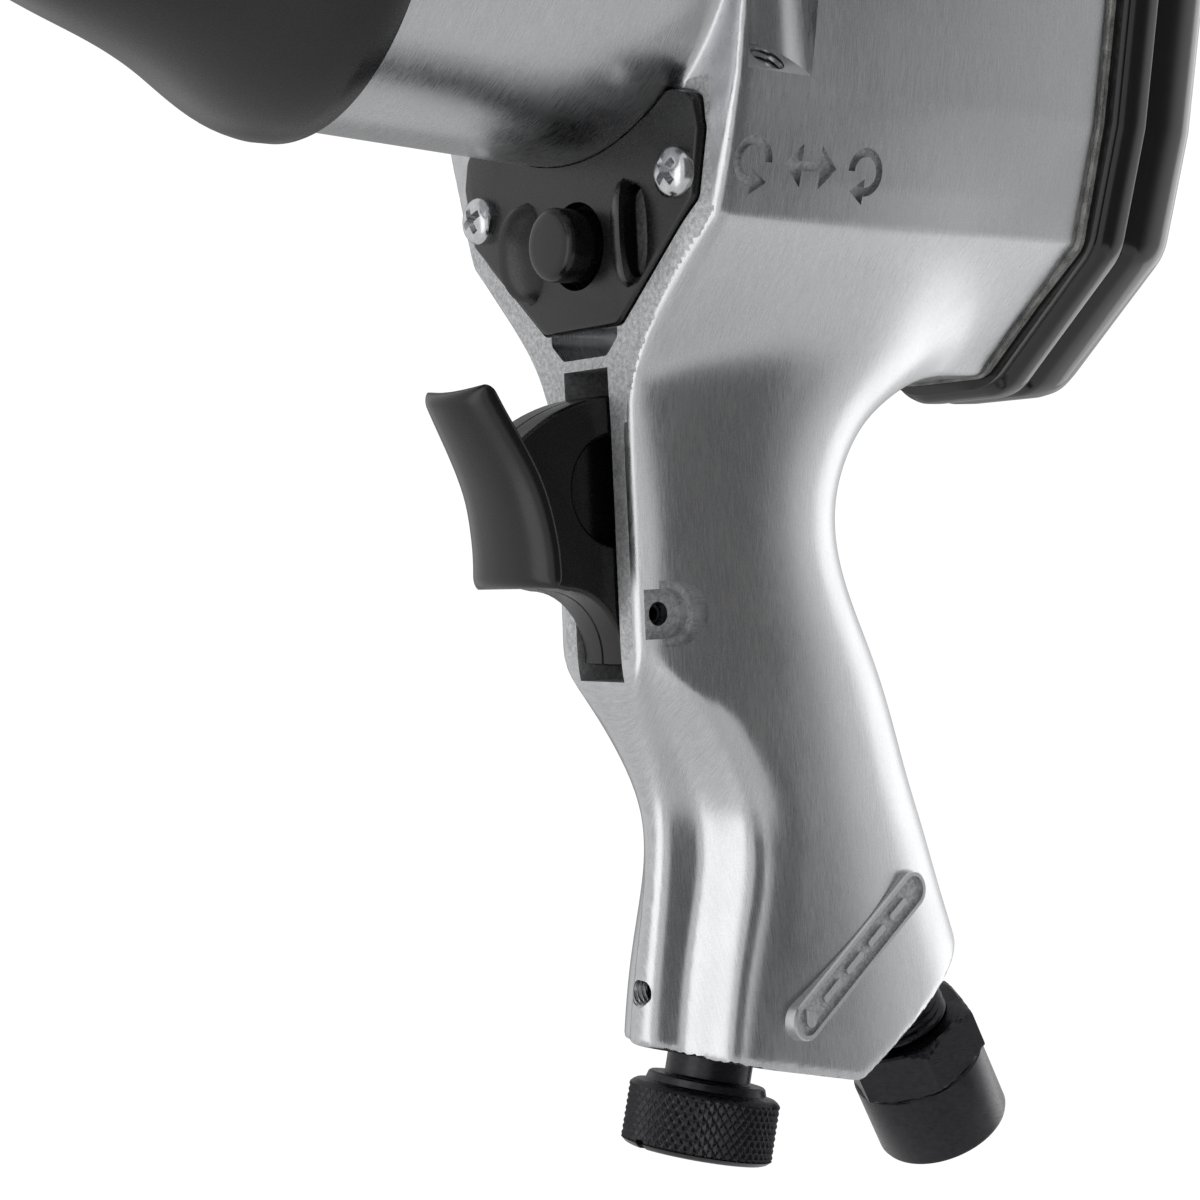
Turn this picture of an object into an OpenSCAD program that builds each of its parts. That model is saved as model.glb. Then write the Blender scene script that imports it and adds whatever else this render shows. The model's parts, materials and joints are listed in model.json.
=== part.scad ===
// Pneumatic impact wrench, three-quarter inch square drive, pistol grip.
// +X runs along the drive axis out of the nose, +Y is the tool's left, +Z is up.
// The origin is the centre of the square drive's front face.

/* [Drive] */
// Side of the square drive
drive_size = 19.05; // [18.5:0.05:19.6]
// Length of the square part of the anvil
drive_len = 26; // [22:0.5:32]
// Diameter of the anvil's neck, which runs in the nose bush
neck_d = 28; // [27.5:0.1:28.6]
// Thickness of the nose bush's wall
bush_wall = 2.5; // [2:0.1:2.8]

/* [Barrel and nose] */
// Length of the nose cone, from the boot's rear ring to the bush's front end
nose_len = 46; // [42:1:56]
// Length of the rubber boot over the nose cone
boot_len = 40; // [36:1:42]
// Thickness of the rubber boot
boot_wall = 3; // [2.5:0.1:3.4]
// Diameter of the boot's rear ring
ring_d = 76; // [75:0.5:80]
// Diameter of the barrel where the boot ends
barrel_front_d = 71; // [70.5:0.5:72]
// Diameter of the barrel where it meets the motor box
barrel_rear_d = 75; // [73:0.5:77]
// Length of the bare barrel, from the boot's ring to the motor box
barrel_len = 48.5; // [46:0.5:60]

/* [Motor box] */
// Length of the motor box, from its front wall to the gasket
box_len = 77.5; // [76:0.5:96]
// Widest half-width of the motor box
box_half = 39; // [37:0.5:47]
// Height of the box's top above the drive axis
box_top = 42; // [41:0.5:52]
// Depth of the box's bottom below the drive axis
box_bottom = 69.5; // [68:0.5:73]
// Thickness of the rear gasket
gasket_t = 1; // [0.8:0.1:1.5]
// Depth of the rear cover
cover_depth = 26; // [22:0.5:30]
// How far the rear cover stands proud of the box all round
cover_lip = 3.5; // [2:0.5:5]

/* [Motor] */
// Outer diameter of the motor's cylinder and end plates
motor_d = 62; // [60:0.5:63]
// Diameter of the rotor's body
rotor_d = 46; // [44:0.5:47]
// Length of the motor's cylinder
liner_len = 54; // [48:0.5:54]
// Thickness of each end plate
plate_t = 8.5; // [8.5:0.1:9.5]
// Outer diameter of the two shaft bearings
bearing_d = 32; // [30:0.5:33]
// Diameter of the rotor's shaft
shaft_d = 16; // [15:0.5:16.5]
// Number of blades in the rotor
blades = 6; // [5:1:7]

/* [Hammers] */
// Thickness of one hammer
hammer_t = 14; // [12:0.5:14.5]
// Distance of each hammer's pin from the drive axis
pin_arm = 24.5; // [24:0.1:25]
// Diameter of the hammer pins
hammer_pin_d = 6; // [5:0.5:6.5]

/* [Handle] */
// Largest half-width of the grip
grip_half = 17; // [16:0.5:20]
// Depth of the trigger slot's top edge below the drive axis
slot_top = 68.5; // [68.5:0.5:70]
// Height of the trigger slot
slot_h = 46; // [45:0.5:50]
// Width of the trigger slot
slot_w = 10.6; // [10:0.1:12]
// Depth of the handle's lowest edge below the drive axis
handle_low = 180.5; // [178:0.5:188]
// Forward tilt of the bottom face that carries the regulator
knob_tilt = 15.5; // [13:0.5:18]
// Rearward tilt of the bottom face that carries the air inlet
inlet_tilt = 27; // [25:0.5:29]

/* [Controls] */
// Width of the trigger's finger plate
trigger_w = 20; // [18:0.5:24]
// How far the reverse button stands out of its plate at rest
button_out = 5.5; // [3:0.5:8]
// Diameter of the trigger's pin
trigger_pin_d = 3.6; // [3:0.1:4]
// How far the trigger turns, in degrees
trigger_turn = 10; // [8:0.5:10]
// Diameter of the reverse button
button_d = 11; // [10:0.5:12]
// How far the reverse button slides
button_travel = 6; // [4:0.5:7]
// Diameter of the regulator's knurled rim
knob_d = 24; // [22:0.5:27]
// Diameter of the regulator's neck
knob_neck_d = 13.6; // [12:0.1:15]
// Outer diameter of the air inlet's collar
collar_d = 23; // [22.5:0.1:25]
// Bore of the female pipe thread in the inlet
inlet_bore = 15.6; // [15:0.1:16]

/* [Hidden] */

$fn = 96;
eps = 0.02;      // overlap that lets a cut pass a face
run = 0.05;      // radial clearance of a running fit
free = 0.4;      // clearance between pieces that must never touch

// Stations along the drive axis, worked back from the origin.
shoulder_len = 2;
ring_x = -(drive_len + shoulder_len + nose_len);
function behind(d) = ring_x - d;          // d behind the boot's ring
function ahead(d) = ring_x + d;           // d ahead of it
box_front = behind(barrel_len);
box_rear = box_front - box_len;
cover_front = box_rear - gasket_t;
cover_rear = cover_front - cover_depth;

// Clutch chamber and motor stations.
chamber_front = ahead(4);
chamber_d = 63;
motor_front = behind(44);
liner_front = motor_front - plate_t;
liner_rear = liner_front - liner_len;
motor_rear = liner_rear - plate_t;
motor_bore_d = motor_d + 2 * run;
washer_t = 1.4;
cage_t = 4;
cage_d = chamber_d - 1;
cage_front = chamber_front - washer_t - free;
hammer_gap = 0.8;
hammer1_front = cage_front - cage_t - hammer_gap;
hammer2_front = hammer1_front - hammer_t - hammer_gap;
cage_back = hammer2_front - hammer_t - hammer_gap;
anvil_core_d = 19;
lobe_d = 28.4;
// How far the cylinder's bore is off centre, from its thinnest wall.
liner_wall = 4.9;
bore_offset = motor_d / 2 - liner_wall - rotor_d / 2;
liner_bore_d = rotor_d + 2 * bore_offset + 2 * free;

// Bearings.
bearing_w = 7;
race_t = 2.3;
ball_ring_r = (bearing_d + shaft_d) / 4;
ball_d = (bearing_d - shaft_d) / 2 - 2 * race_t + 1.1;
balls = 9;

// Front wall pad that carries the reverse plate.
plate_back = box_front - 0.5;
plate_thick = 2.5;
plate_front = plate_back + plate_thick;
plate_screw_y = 23.7;
plate_screw_z = -42.8;
valve_z = -50;
slot_front = behind(47.2);
slot_depth = 23;
slot_back = slot_front - slot_depth;

// Trigger pivot and throttle.
pivot_x = behind(51);
pivot_z = -105.4;
throttle_z = -88;
web_half = slot_w / 2 - free;
throttle_len = 8;
chamber_back = slot_back - throttle_len - 13;

// Handle's bottom faces meet in one edge, at edge_x.
edge_x = behind(83);
knob_x = behind(66.3);
knob_z = -handle_low + (knob_x - edge_x) * tan(knob_tilt);
inlet_x = behind(104.6);
inlet_z = -handle_low + (edge_x - inlet_x) * tan(inlet_tilt);
inlet_thread_d = 17;
inlet_thread_len = 14;

// ---- shared helpers --------------------------------------------------------

// A cylinder along X from x0 to x1.
module rod_x(x0, x1, d, n = 96) {
    translate([min(x0, x1), 0, 0])
        rotate([0, 90, 0])
            cylinder(h = abs(x1 - x0), d = d, $fn = n);
}

// A ring along X.
module tube_x(x0, x1, outer, inner) {
    difference() {
        rod_x(x0, x1, outer);
        rod_x(min(x0, x1) - 1, max(x0, x1) + 1, inner);
    }
}

// A solid turned about the drive axis; each profile point is [x, radius].
module turned_x(profile) {
    rotate([0, 90, 0])
        rotate([0, 0, 180])
            rotate_extrude()
                polygon([for (p = profile) [p[1], p[0]]]);
}

// An outline in the YZ plane, given as [y, z] points, pushed from x0 to x1.
module slab_x(points, x0, x1) {
    translate([min(x0, x1), 0, 0])
        rotate([90, 0, 90])
            linear_extrude(abs(x1 - x0))
                polygon(points);
}

// An outline in the XZ plane, given as [x, z] points, centred on y.
module slab_y(points, y0, y1) {
    translate([0, max(y0, y1), 0])
        rotate([90, 0, 0])
            linear_extrude(abs(y1 - y0))
                polygon(points);
}

function unit(v) = v / norm(v);
function next(list, i) = list[(i + 1) % len(list)];
function prev(list, i) = list[(i + len(list) - 1) % len(list)];

// Corner i of a closed outline moved outwards by d, with mitred corners.
function mitre(pts, d) = [
    for (i = [0 : len(pts) - 1])
        let (a = unit(pts[i] - prev(pts, i)), b = unit(next(pts, i) - pts[i]),
             n1 = [a[1], -a[0]], n2 = [b[1], -b[0]])
        pts[i] + d * (n1 + n2) / (1 + n1 * n2)
];

// A closed outline with every corner rounded to radius r, limited by its sides.
function rounded(pts, r, steps = 5) = [
    for (i = [0 : len(pts) - 1])
        let (p = pts[i], u = unit(prev(pts, i) - p), v = unit(next(pts, i) - p),
             half = acos(max(-1, min(1, u * v))) / 2,
             room = 0.48 * min(norm(prev(pts, i) - p), norm(next(pts, i) - p)),
             t = min(room, r / tan(half)), rr = t * tan(half),
             c = p + unit(u + v) * (rr / sin(half)),
             a = p + u * t - c, b = p + v * t - c)
        for (k = [0 : steps]) c + rr * unit(a * (1 - k / steps) + b * (k / steps))
];

// ---- housing ----------------------------------------------------------------

// Right half of the box's outline, from the top down, as [y, z].
function box_half_points() = [
    [box_half - 14, box_top], [box_half, box_top - 14], [box_half, -10],
    [box_half - 3.6, -31], [box_half - 8.6, -50], [box_half - 18.6, -58.5],
    [9, -box_bottom + 0.4]
];
function mirrored(half) = concat(half, [for (i = [len(half) - 1 : -1 : 0]) [-half[i][0], half[i][1]]]);
// The outline runs counter-clockwise, which mitre() needs.
function reversed(list) = [for (i = [len(list) - 1 : -1 : 0]) list[i]];
function box_outline(grow, r) = rounded(mitre(reversed(mirrored(box_half_points())), grow), r);

nose_profile_r = [ring_d / 2 - boot_wall, 28.9 - boot_wall, 22.4 - boot_wall];
tip_r = neck_d / 2 + bush_wall + 2.6;

module nose_cone() {
    turned_x([
        [behind(2), 0], [behind(2), barrel_front_d / 2 - 0.5], [ahead(0), barrel_front_d / 2 - 0.5],
        [ahead(0), nose_profile_r[0]], [ahead(3.5), nose_profile_r[0]],
        [ahead(22), nose_profile_r[1]], [ahead(boot_len), tip_r],
        [ahead(nose_len - 0.5), tip_r], [ahead(nose_len), tip_r - 0.5], [ahead(nose_len), 0]
    ]);
}

module barrel() {
    turned_x([
        [box_front - 12, 0], [box_front - 12, barrel_rear_d / 2], [behind(40), barrel_rear_d / 2],
        [behind(0), barrel_front_d / 2], [behind(0), 0]
    ]);
}

// Stations down the handle: depth below the drive axis, distance of its front
// and back behind the boot's ring, and its half-width.
handle_stations = [
    [52, 47.6, 118, 25.5], [58, 47.2, 118, 23.5], [64, 47.2, 116, 20.6], [70, 47.2, 110, 18.4],
    [76, 47.2, 101, 17.4], [82, 47.2, 95.8, 17], [89, 47.2, 92.4, 17], [97, 47.2, 92.2, 17],
    [106, 47.2, 95.6, 17], [115, 47.6, 100.6, 17], [125, 52, 104, 16.4], [135, 55.4, 107.5, 16.2],
    [145, 55.2, 111.3, 16.2], [155, 53.6, 114.8, 16.6], [165, 51.8, 118.4, 17], [176, 50.4, 120.4, 17],
    [190, 49, 123, 17]
];
grip_share = grip_half / 17;
ring_points = 40;
function power(v, e) = sign(v) * pow(abs(v), e);
// One point of a squared-off oval at angle a.
function oval(s, a) = [
    behind((s[1] + s[2]) / 2) + (s[2] - s[1]) / 2 * power(cos(a), 0.88),
    s[3] * grip_share * power(sin(a), 0.88), -s[0]
];
module handle_body() {
    n = ring_points;
    m = len(handle_stations);
    points = [for (s = handle_stations) for (k = [0 : n - 1]) oval(s, 360 * k / n)];
    sides = [for (i = [0 : m - 2]) for (k = [0 : n - 1])
        [i * n + k, i * n + (k + 1) % n, (i + 1) * n + (k + 1) % n, (i + 1) * n + k]];
    polyhedron(points, concat([[for (k = [n - 1 : -1 : 0]) k]], sides,
        [[for (k = [0 : n - 1]) (m - 1) * n + k]]), convexity = 4);
}

// Everything below the two bottom faces, which is cut away.
module below_handle() {
    far = 100;
    for (tilt = [-knob_tilt, inlet_tilt])
        translate([edge_x, 0, -handle_low])
            rotate([0, tilt, 0])
                translate([-far / 2, -far / 2, -far])
                    cube(far);
}

// The frame in which the regulator points down its own axis.
module at_regulator() {
    translate([knob_x, 0, knob_z])
        rotate([0, -knob_tilt, 0])
            children();
}
// The frame in which the inlet points down its own axis.
module at_inlet() {
    translate([inlet_x, 0, inlet_z])
        rotate([0, inlet_tilt, 0])
            children();
}

cover_screw_at = [[box_half - 10, box_top - 12], [-box_half + 10, box_top - 12],
    [box_half - 13, -42], [-box_half + 13, -42]];
cover_screw_d = 5;
cover_hole_d = cover_screw_d + 0.4;

// Reverse plate's outline, as [y, z]; grow makes the seat that it lies in.
plate_half = [[17, -33.6], [22.3, -30.6], [27.3, -32.2], [28.4, -37.2], [26.6, -46.6], [9.2, -62.4]];
function plate_outline(grow) = rounded(mitre(reversed(mirrored(plate_half)), grow), 2.2);

// Clears the front wall and the handle's front where the reverse plate lies.
module front_plate_room() {
    slab_x(plate_outline(0.35), plate_back, plate_back + 6);
}

module trigger_slot() {
    translate([slot_back, -slot_w / 2, -slot_top - slot_h])
        cube([slot_depth + 6, slot_w, slot_h]);
}
module pin_spot(side) {
    // Flat spot-face with a round rear end, where the pin's end shows.
    face = 10;
    translate([pivot_x, side * face, pivot_z])
        rotate([-90 * side, 0, 0]) {
            cylinder(h = 12, d = 9);
            translate([0, -4.5, 0])
                cube([20, 9, 12]);
        }
}

// Pocket in the left side wall: an upright groove with a floor that slopes at
// 45 degrees, and a tapped hole square to that floor.
pocket_x = box_front - 7.5;
pocket_d = 12.5;
pocket_y = box_half - 2;
pocket_floor = [box_half - 3.5, -30];        // lowest edge of the floor, as [y, z]
hanger_hole_d = 5;
hanger_depth = 12;
hanger_at = pocket_floor + [-2.3, 2.3];
module hanger_pocket() {
    intersection() {
        translate([pocket_x, pocket_y, pocket_floor[1] - 5])
            cylinder(h = 45, d = pocket_d);
        slab_x([pocket_floor + [10, -10], pocket_floor + [10, 42], pocket_floor + [-10, 42],
            pocket_floor + [-10, 10]], pocket_x - pocket_d, pocket_x + pocket_d);
    }
}
module hanger_hole() {
    translate([pocket_x, hanger_at[0], hanger_at[1]])
        rotate([-45, 0, 0])
            translate([0, 0, -hanger_depth])
                cylinder(h = hanger_depth + 3, d = hanger_hole_d);
}

exhaust_half = 15.5;
module inside_housing() {
    rod_x(behind(2), ahead(nose_len + 1), neck_d + 2 * bush_wall);
    rod_x(chamber_front, motor_front + eps, chamber_d);
    rod_x(motor_front + eps, box_rear - 1, motor_bore_d);
    // Exhaust room behind the reverse plate.
    translate([plate_back - 13, -exhaust_half, -57])
        cube([13 + eps, 2 * exhaust_half, 21]);
    // Bore of the reverse valve.
    translate([0, 0, valve_z])
        rod_x(plate_back - 12, box_rear - 1, sleeve_d);
    // Drilled way from the throttle up to the reverse valve, and on to the motor.
    translate([behind(92), 0, -84])
        cylinder(h = 84, d = 7);
    // Throttle bushing's seat and the valve room behind it.
    translate([0, 0, throttle_z]) {
        rod_x(slot_back + eps, slot_back - throttle_len - eps, bushing_d);
        rod_x(slot_back - throttle_len, chamber_back, valve_room_d);
    }
    // Way from the inlet up to the valve room.
    at_inlet() {
        translate([0, 0, -2])
            cylinder(h = inlet_thread_len + 3, d = inlet_thread_d);
        cylinder(h = 40, d = 11);
    }
    translate([behind(83.5), 0, -141])
        cylinder(h = 55, d = 10);
    at_regulator() {
        translate([0, 0, -2])
            cylinder(h = regulator_seat + 2, d = knob_neck_d + 2 * run);
        cylinder(h = 34, d = 6.4);
    }
}

sleeve_d = 13;
spool_d = 9;
bushing_d = 11;
valve_room_d = 14;
regulator_seat = 16;
set_screw_d = 4;
detent_z = valve_z - sleeve_d / 2;
detent_x = behind(112);

module fastener_holes() {
    for (p = cover_screw_at)
        translate([0, p[0], p[1]])
            rod_x(box_rear - 1, box_rear + 22, cover_screw_d);
    for (s = [-1, 1])
        translate([0, s * plate_screw_y, plate_screw_z])
            rod_x(plate_back - 9, plate_back + 8, 3.9);
    translate([pivot_x, 0, pivot_z])
        rotate([90, 0, 0])
            cylinder(h = 60, d = trigger_pin_d, center = true);
    set_screw_hole();
    // Locating pin's groove along the motor bore.
    translate([0, 0, -motor_d / 2 + 0.2])
        rod_x(motor_front - 1, box_rear - 1, 3);
    // Detent ball and spring, loaded from below the valve.
    translate([detent_x, 0, detent_z - 7.5])
        cylinder(h = 10, d = 3.4);
}

set_screw_z = -163.8;
set_screw_len = 5.8;
set_screw_socket = 2;
set_screw_gap = 1.29;
regulator_axis_x = knob_x - (set_screw_z - knob_z) * tan(knob_tilt);
set_screw_tip = regulator_axis_x + knob_neck_d / 2 / cos(knob_tilt) + set_screw_gap;
set_screw_face = set_screw_tip + set_screw_len;
module set_screw_hole() {
    translate([0, 0, set_screw_z])
        rod_x(behind(48), behind(66), set_screw_d);
}

// Direction marks cut into the left side wall: a turning arrow at each end of
// a double arrow.
mark_h = 7;
mark_line = 1.4;
mark_depth = 0.6;
mark_tilt = 14.7;
mark_z = -42;
mark_wall_y = box_half - 6.5;
module stroke(x, z, w, h) {
    translate([x, z])
        square([w, h]);
}
module turning_arrow() {
    difference() {
        circle(d = mark_h);
        circle(d = mark_h - 2 * mark_line);
        stroke(0, -mark_h, mark_h, mark_h);
    }
    polygon([[0, -mark_h / 2 - 1.2], [0, -mark_h / 2 + mark_line + 1.2], [2.8, -mark_h / 2 + mark_line / 2]]);
}
module double_arrow() {
    difference() {
        polygon([[-4.6, 0], [0, 3.4], [4.6, 0], [0, -3.4]]);
        stroke(-0.9, 0.9, 1.8, 3);
        stroke(-0.8, -3.9, 1.6, 3);
    }
}
// The side wall leans, so the marks are cut in its own plane.
module marks() {
    proud = 3;
    translate([behind(64), mark_wall_y, mark_z])
        rotate([-mark_tilt, 0, 0])
            translate([0, proud, 0])
                rotate([90, 0, 0])
                    linear_extrude(proud + mark_depth) {
                        double_arrow();
                        translate([11, 0])
                            turning_arrow();
                        translate([-11, 0])
                            mirror([1, 0])
                                turning_arrow();
                    }
}

module housing() {
    color("silver")
        difference() {
            union() {
                slab_x(box_outline(0, 5), box_front, box_rear);
                barrel();
                nose_cone();
                handle_body();
            }
            inside_housing();
            trigger_slot();
            below_handle();
            pin_spot(1);
            pin_spot(-1);
            hanger_pocket();
            hanger_hole();
            fastener_holes();
            // Notch under the reverse plate.
            translate([slot_front - 6, -8, -67])
                cube([12, 16, 4.2]);
            front_plate_room();
            marks();
        }
}

// ---- nose -------------------------------------------------------------------

module nose_boot() {
    color("#1c1c1c")
        turned_x([
            [ahead(0), nose_profile_r[0]], [ahead(0), ring_d / 2 - 0.6], [ahead(0.6), ring_d / 2],
            [ahead(3), ring_d / 2], [ahead(4.4), ring_d / 2 - 0.5],
            [ahead(22), nose_profile_r[1] + boot_wall], [ahead(boot_len - 1), tip_r + boot_wall],
            [ahead(boot_len), tip_r + boot_wall - 1], [ahead(boot_len), tip_r],
            [ahead(22), nose_profile_r[1]], [ahead(3.5), nose_profile_r[0]]
        ]);
}

module nose_bush() {
    color("#b08d57")
        tube_x(chamber_front, ahead(nose_len - 3.5), neck_d + 2 * bush_wall, neck_d + 2 * run);
}

module anvil_seal() {
    color("#202020")
        tube_x(ahead(nose_len - 3.5), ahead(nose_len - 0.5), neck_d + 2 * bush_wall, neck_d + 2 * run);
}

module thrust_washer() {
    color("#8a8d91")
        tube_x(chamber_front, chamber_front - washer_t, 46, neck_d + 2 * run + 0.3);
}

// ---- anvil ------------------------------------------------------------------

ring_groove = [-8.2, -6];
oring_groove = [-10.4, -8.2];
groove_d = 17.2;
module square_bar() {
    // Corners of the square are rounded by the turned envelope.
    bevel = 1.2;
    intersection() {
        translate([-drive_len, -drive_size / 2, -drive_size / 2])
            cube([drive_len, drive_size, drive_size]);
        turned_x([[-drive_len - 1, 0], [-drive_len - 1, drive_size * 0.665],
            [-bevel, drive_size * 0.665], [0, drive_size * 0.665 - bevel], [0, 0]]);
    }
}
module anvil() {
    color("#3b3d40")
        difference() {
            union() {
                square_bar();
                rod_x(-drive_len, cage_front - cage_t, neck_d);
                rod_x(cage_front - cage_t + eps, cage_back - cage_t + 0.6, anvil_core_d);
                for (front = [hammer1_front, hammer2_front])
                    anvil_lobes(front);
            }
            tube_x(ring_groove[0], ring_groove[1], 40, groove_d);
            tube_x(oring_groove[0], oring_groove[1] + eps, 40, groove_d);
        }
}
// Two lobes that the hammers strike.
module anvil_lobes(front) {
    lobe_w = 9;
    intersection() {
        rod_x(front, front - hammer_t, lobe_d);
        translate([front - hammer_t, -lobe_w / 2, -lobe_d / 2])
            cube([hammer_t, lobe_w, lobe_d]);
    }
}

module socket_ring() {
    color("#5a5c5f")
        difference() {
            tube_x(ring_groove[0] + 0.1, ring_groove[1] - 0.1, 21, groove_d);
            translate([ring_groove[0] - 1, -1.5, 0])
                cube([4, 3, 14]);
        }
}

module socket_o_ring() {
    color("#161616")
        rotate([0, 90, 0])
            translate([0, 0, (oring_groove[0] + oring_groove[1]) / 2])
                rotate_extrude()
                    translate([groove_d / 2 + 0.95, 0])
                        circle(d = 1.9, $fn = 32);
}

// ---- hammers and cage ---------------------------------------------------------

strut_half = 10;   // half-height of the cage's two side struts
module hammer_cage() {
    color("#77797c")
        difference() {
            union() {
                tube_x(cage_front, cage_front - cage_t, cage_d, neck_d + 2 * run);
                tube_x(cage_back, cage_back - cage_t, cage_d, anvil_core_d + 2 * run);
                difference() {
                    // Side struts join the two discs outside the hammers.
                    tube_x(cage_front, cage_back - cage_t, cage_d, cage_d - 3);
                    translate([cage_back - 50, -50, strut_half])
                        cube([100, 100, 50]);
                    translate([cage_back - 50, -50, -strut_half - 50])
                        cube([100, 100, 50]);
                }
                // Hub that the rotor's shaft drives.
                tube_x(cage_back - cage_t, hub_back, 24, shaft_d);
            }
            for (s = [-1, 1])
                translate([0, 0, s * pin_arm])
                    rod_x(cage_front + 1, cage_back - cage_t - 1, hammer_pin_d);
        }
}
hub_back = motor_front + 0.6;

module hammer_pins() {
    color("#9a9c9f")
        for (s = [-1, 1])
            translate([0, 0, s * pin_arm])
                rod_x(cage_front, cage_back - cage_t, hammer_pin_d);
}

// A hammer hangs on one pin and straddles the other.
module hammer(front, side) {
    waist = 23.5;
    hole_r = 17.2;
    dog_r = 15.2;
    difference() {
        intersection() {
            rod_x(front, front - hammer_t, 57);
            translate([front - hammer_t, -waist, -30])
                cube([hammer_t, 2 * waist, 60]);
        }
        difference() {
            rod_x(front + 1, front - hammer_t - 1, 2 * hole_r);
            // Two dogs stand in from the sides.
            difference() {
                translate([front - hammer_t - 2, -hole_r - 1, -4])
                    cube([hammer_t + 4, 2 * hole_r + 2, 8]);
                rod_x(front + 3, front - hammer_t - 3, 2 * dog_r);
            }
        }
        translate([0, 0, side * pin_arm])
            rod_x(front + 1, front - hammer_t - 1, hammer_pin_d + 2 * run);
        translate([front - hammer_t - 1, -8.2, -side * 25 - 8.5])
            cube([hammer_t + 2, 16.4, 17]);
    }
}
module hammer_front() {
    color("#6d6f72")
        hammer(hammer1_front, 1);
}
module hammer_rear() {
    color("#6d6f72")
        hammer(hammer2_front, -1);
}

// ---- motor ------------------------------------------------------------------

blade_t = 2.4;
blade_h = 10;
module rotor() {
    color("#8f9194")
        difference() {
            union() {
                rod_x(liner_front - 0.3, liner_rear + 0.3, rotor_d);
                rod_x(cage_back - cage_t - 1.2, motor_rear - 1, shaft_d);
            }
            for (k = [0 : blades - 1])
                rotate([360 * k / blades, 0, 0])
                    translate([liner_rear - 1, -blade_t / 2, rotor_d / 2 - blade_h])
                        cube([liner_len + 2, blade_t, blade_h + 2]);
        }
}

module rotor_blades() {
    slack = 0.1;
    color("#8a6a3c")
        for (k = [0 : blades - 1])
            rotate([360 * k / blades, 0, 0])
                translate([liner_rear + 0.5, -blade_t / 2 + slack, rotor_d / 2 - blade_h])
                    cube([liner_len - 1, blade_t - 2 * slack, blade_h - 0.2]);
}

// An end plate with its bearing seat open towards the side given.
module end_plate(x0, x1, seat0, seat1) {
    difference() {
        tube_x(x0, x1, motor_d, bearing_d - 2 * race_t - 1);
        rod_x(seat0, seat1, bearing_d);
        locating_hole();
    }
}
module locating_hole() {
    translate([0, 0, -motor_d / 2 + 0.2])
        rod_x(motor_front + 2, motor_rear - 2, 3);
}
front_seat = [motor_front + 1, motor_front - bearing_w];
rear_seat = [motor_rear - 1, motor_rear + bearing_w];
module front_end_plate() {
    color("#a7a9ac")
        end_plate(motor_front, liner_front, front_seat[0], front_seat[1]);
}
module rear_end_plate() {
    color("#a7a9ac")
        end_plate(motor_rear, liner_rear, rear_seat[0], rear_seat[1]);
}

module cylinder_liner() {
    port_w = 12;
    color("#9b9da0")
        difference() {
            rod_x(liner_front, liner_rear, motor_d);
            translate([0, 0, bore_offset])
                rod_x(liner_front + 1, liner_rear - 1, liner_bore_d);
            // Air and exhaust ports through the lower wall.
            for (s = [-1, 1])
                for (k = [0 : 2])
                    translate([liner_front - 12 - 14 * k, s * port_w, -motor_d / 2 - 2])
                        cylinder(h = 16, d = 6);
            locating_hole();
        }
}

// The two places where a bearing sits, as [front, back] along the shaft.
bearing_at = [[motor_front, motor_front - bearing_w], [motor_rear + bearing_w, motor_rear]];
module bearing_outer_races() {
    color("#b4b6b9")
        for (b = bearing_at)
            tube_x(b[0], b[1], bearing_d, bearing_d - 2 * race_t);
}
module bearing_inner_races() {
    color("#b4b6b9")
        for (b = bearing_at)
            tube_x(b[0], b[1], shaft_d + 2 * race_t, shaft_d);
}
module bearing_balls() {
    gap = (bearing_d - shaft_d) / 2 - 2 * race_t;
    color("#c8cacc")
        for (b = bearing_at)
            for (k = [0 : balls - 1])
                rotate([360 * k / balls, 0, 0])
                    translate([(b[0] + b[1]) / 2, 0, ball_ring_r])
                        sphere(d = gap - 0.1);
}

module locating_pin() {
    color("#8d8f92")
        translate([0, 0, -motor_d / 2 + 0.2])
            rod_x(motor_front - 1.5, motor_rear + 1.5, 3);
}

// ---- rear cover ---------------------------------------------------------------

module cover_holes(x0, x1) {
    for (p = cover_screw_at)
        translate([0, p[0], p[1]])
            rod_x(x0, x1, cover_hole_d);
}
module rear_gasket() {
    color("#9a9a96")
        difference() {
            slab_x(box_outline(0.4, 5), box_rear, cover_front);
            rod_x(box_rear + 1, cover_front - 1, motor_bore_d + 1);
            cover_holes(box_rear + 1, cover_front - 1);
        }
}

// Bands of the cover from front to back: depth where each starts, and how far
// it stands proud of the box.
cover_bands = [[0, cover_lip - 1.2], [2, cover_lip], [7.5, cover_lip - 1.4], [9, cover_lip],
    [18, cover_lip - 1.2], [20.5, cover_lip - 3.4], [23, cover_lip - 6.6]];
cover_bands_depth = 26;
module rear_cover() {
    last = len(cover_bands) - 1;
    share = cover_depth / cover_bands_depth;
    color("#151515")
        difference() {
            union() {
                for (i = [0 : last]) {
                    start = cover_bands[i][0] * share;
                    end = i == last ? cover_depth : cover_bands[i + 1][0] * share;
                    slab_x(box_outline(cover_bands[i][1], 8), cover_front - start, cover_front - end);
                }
                rod_x(cover_front - 1, motor_rear - 0.1, motor_d);
            }
            rod_x(motor_rear + 1, cover_rear + 6, motor_d - 9);
            translate([0, 0, valve_z])
                rod_x(cover_front + 1, cover_rear + 8, 9);
            cover_holes(cover_front + 1, cover_rear - 1);
            // Seats for the screw heads and washers.
            for (p = cover_screw_at)
                translate([0, p[0], p[1]])
                    rod_x(cover_rear + 7.5, cover_rear - 1, 11.6);
            translate([0, 0, -motor_d / 2 + 0.2])
                rod_x(motor_rear + 2, motor_rear - 2, 4);
        }
}

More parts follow.
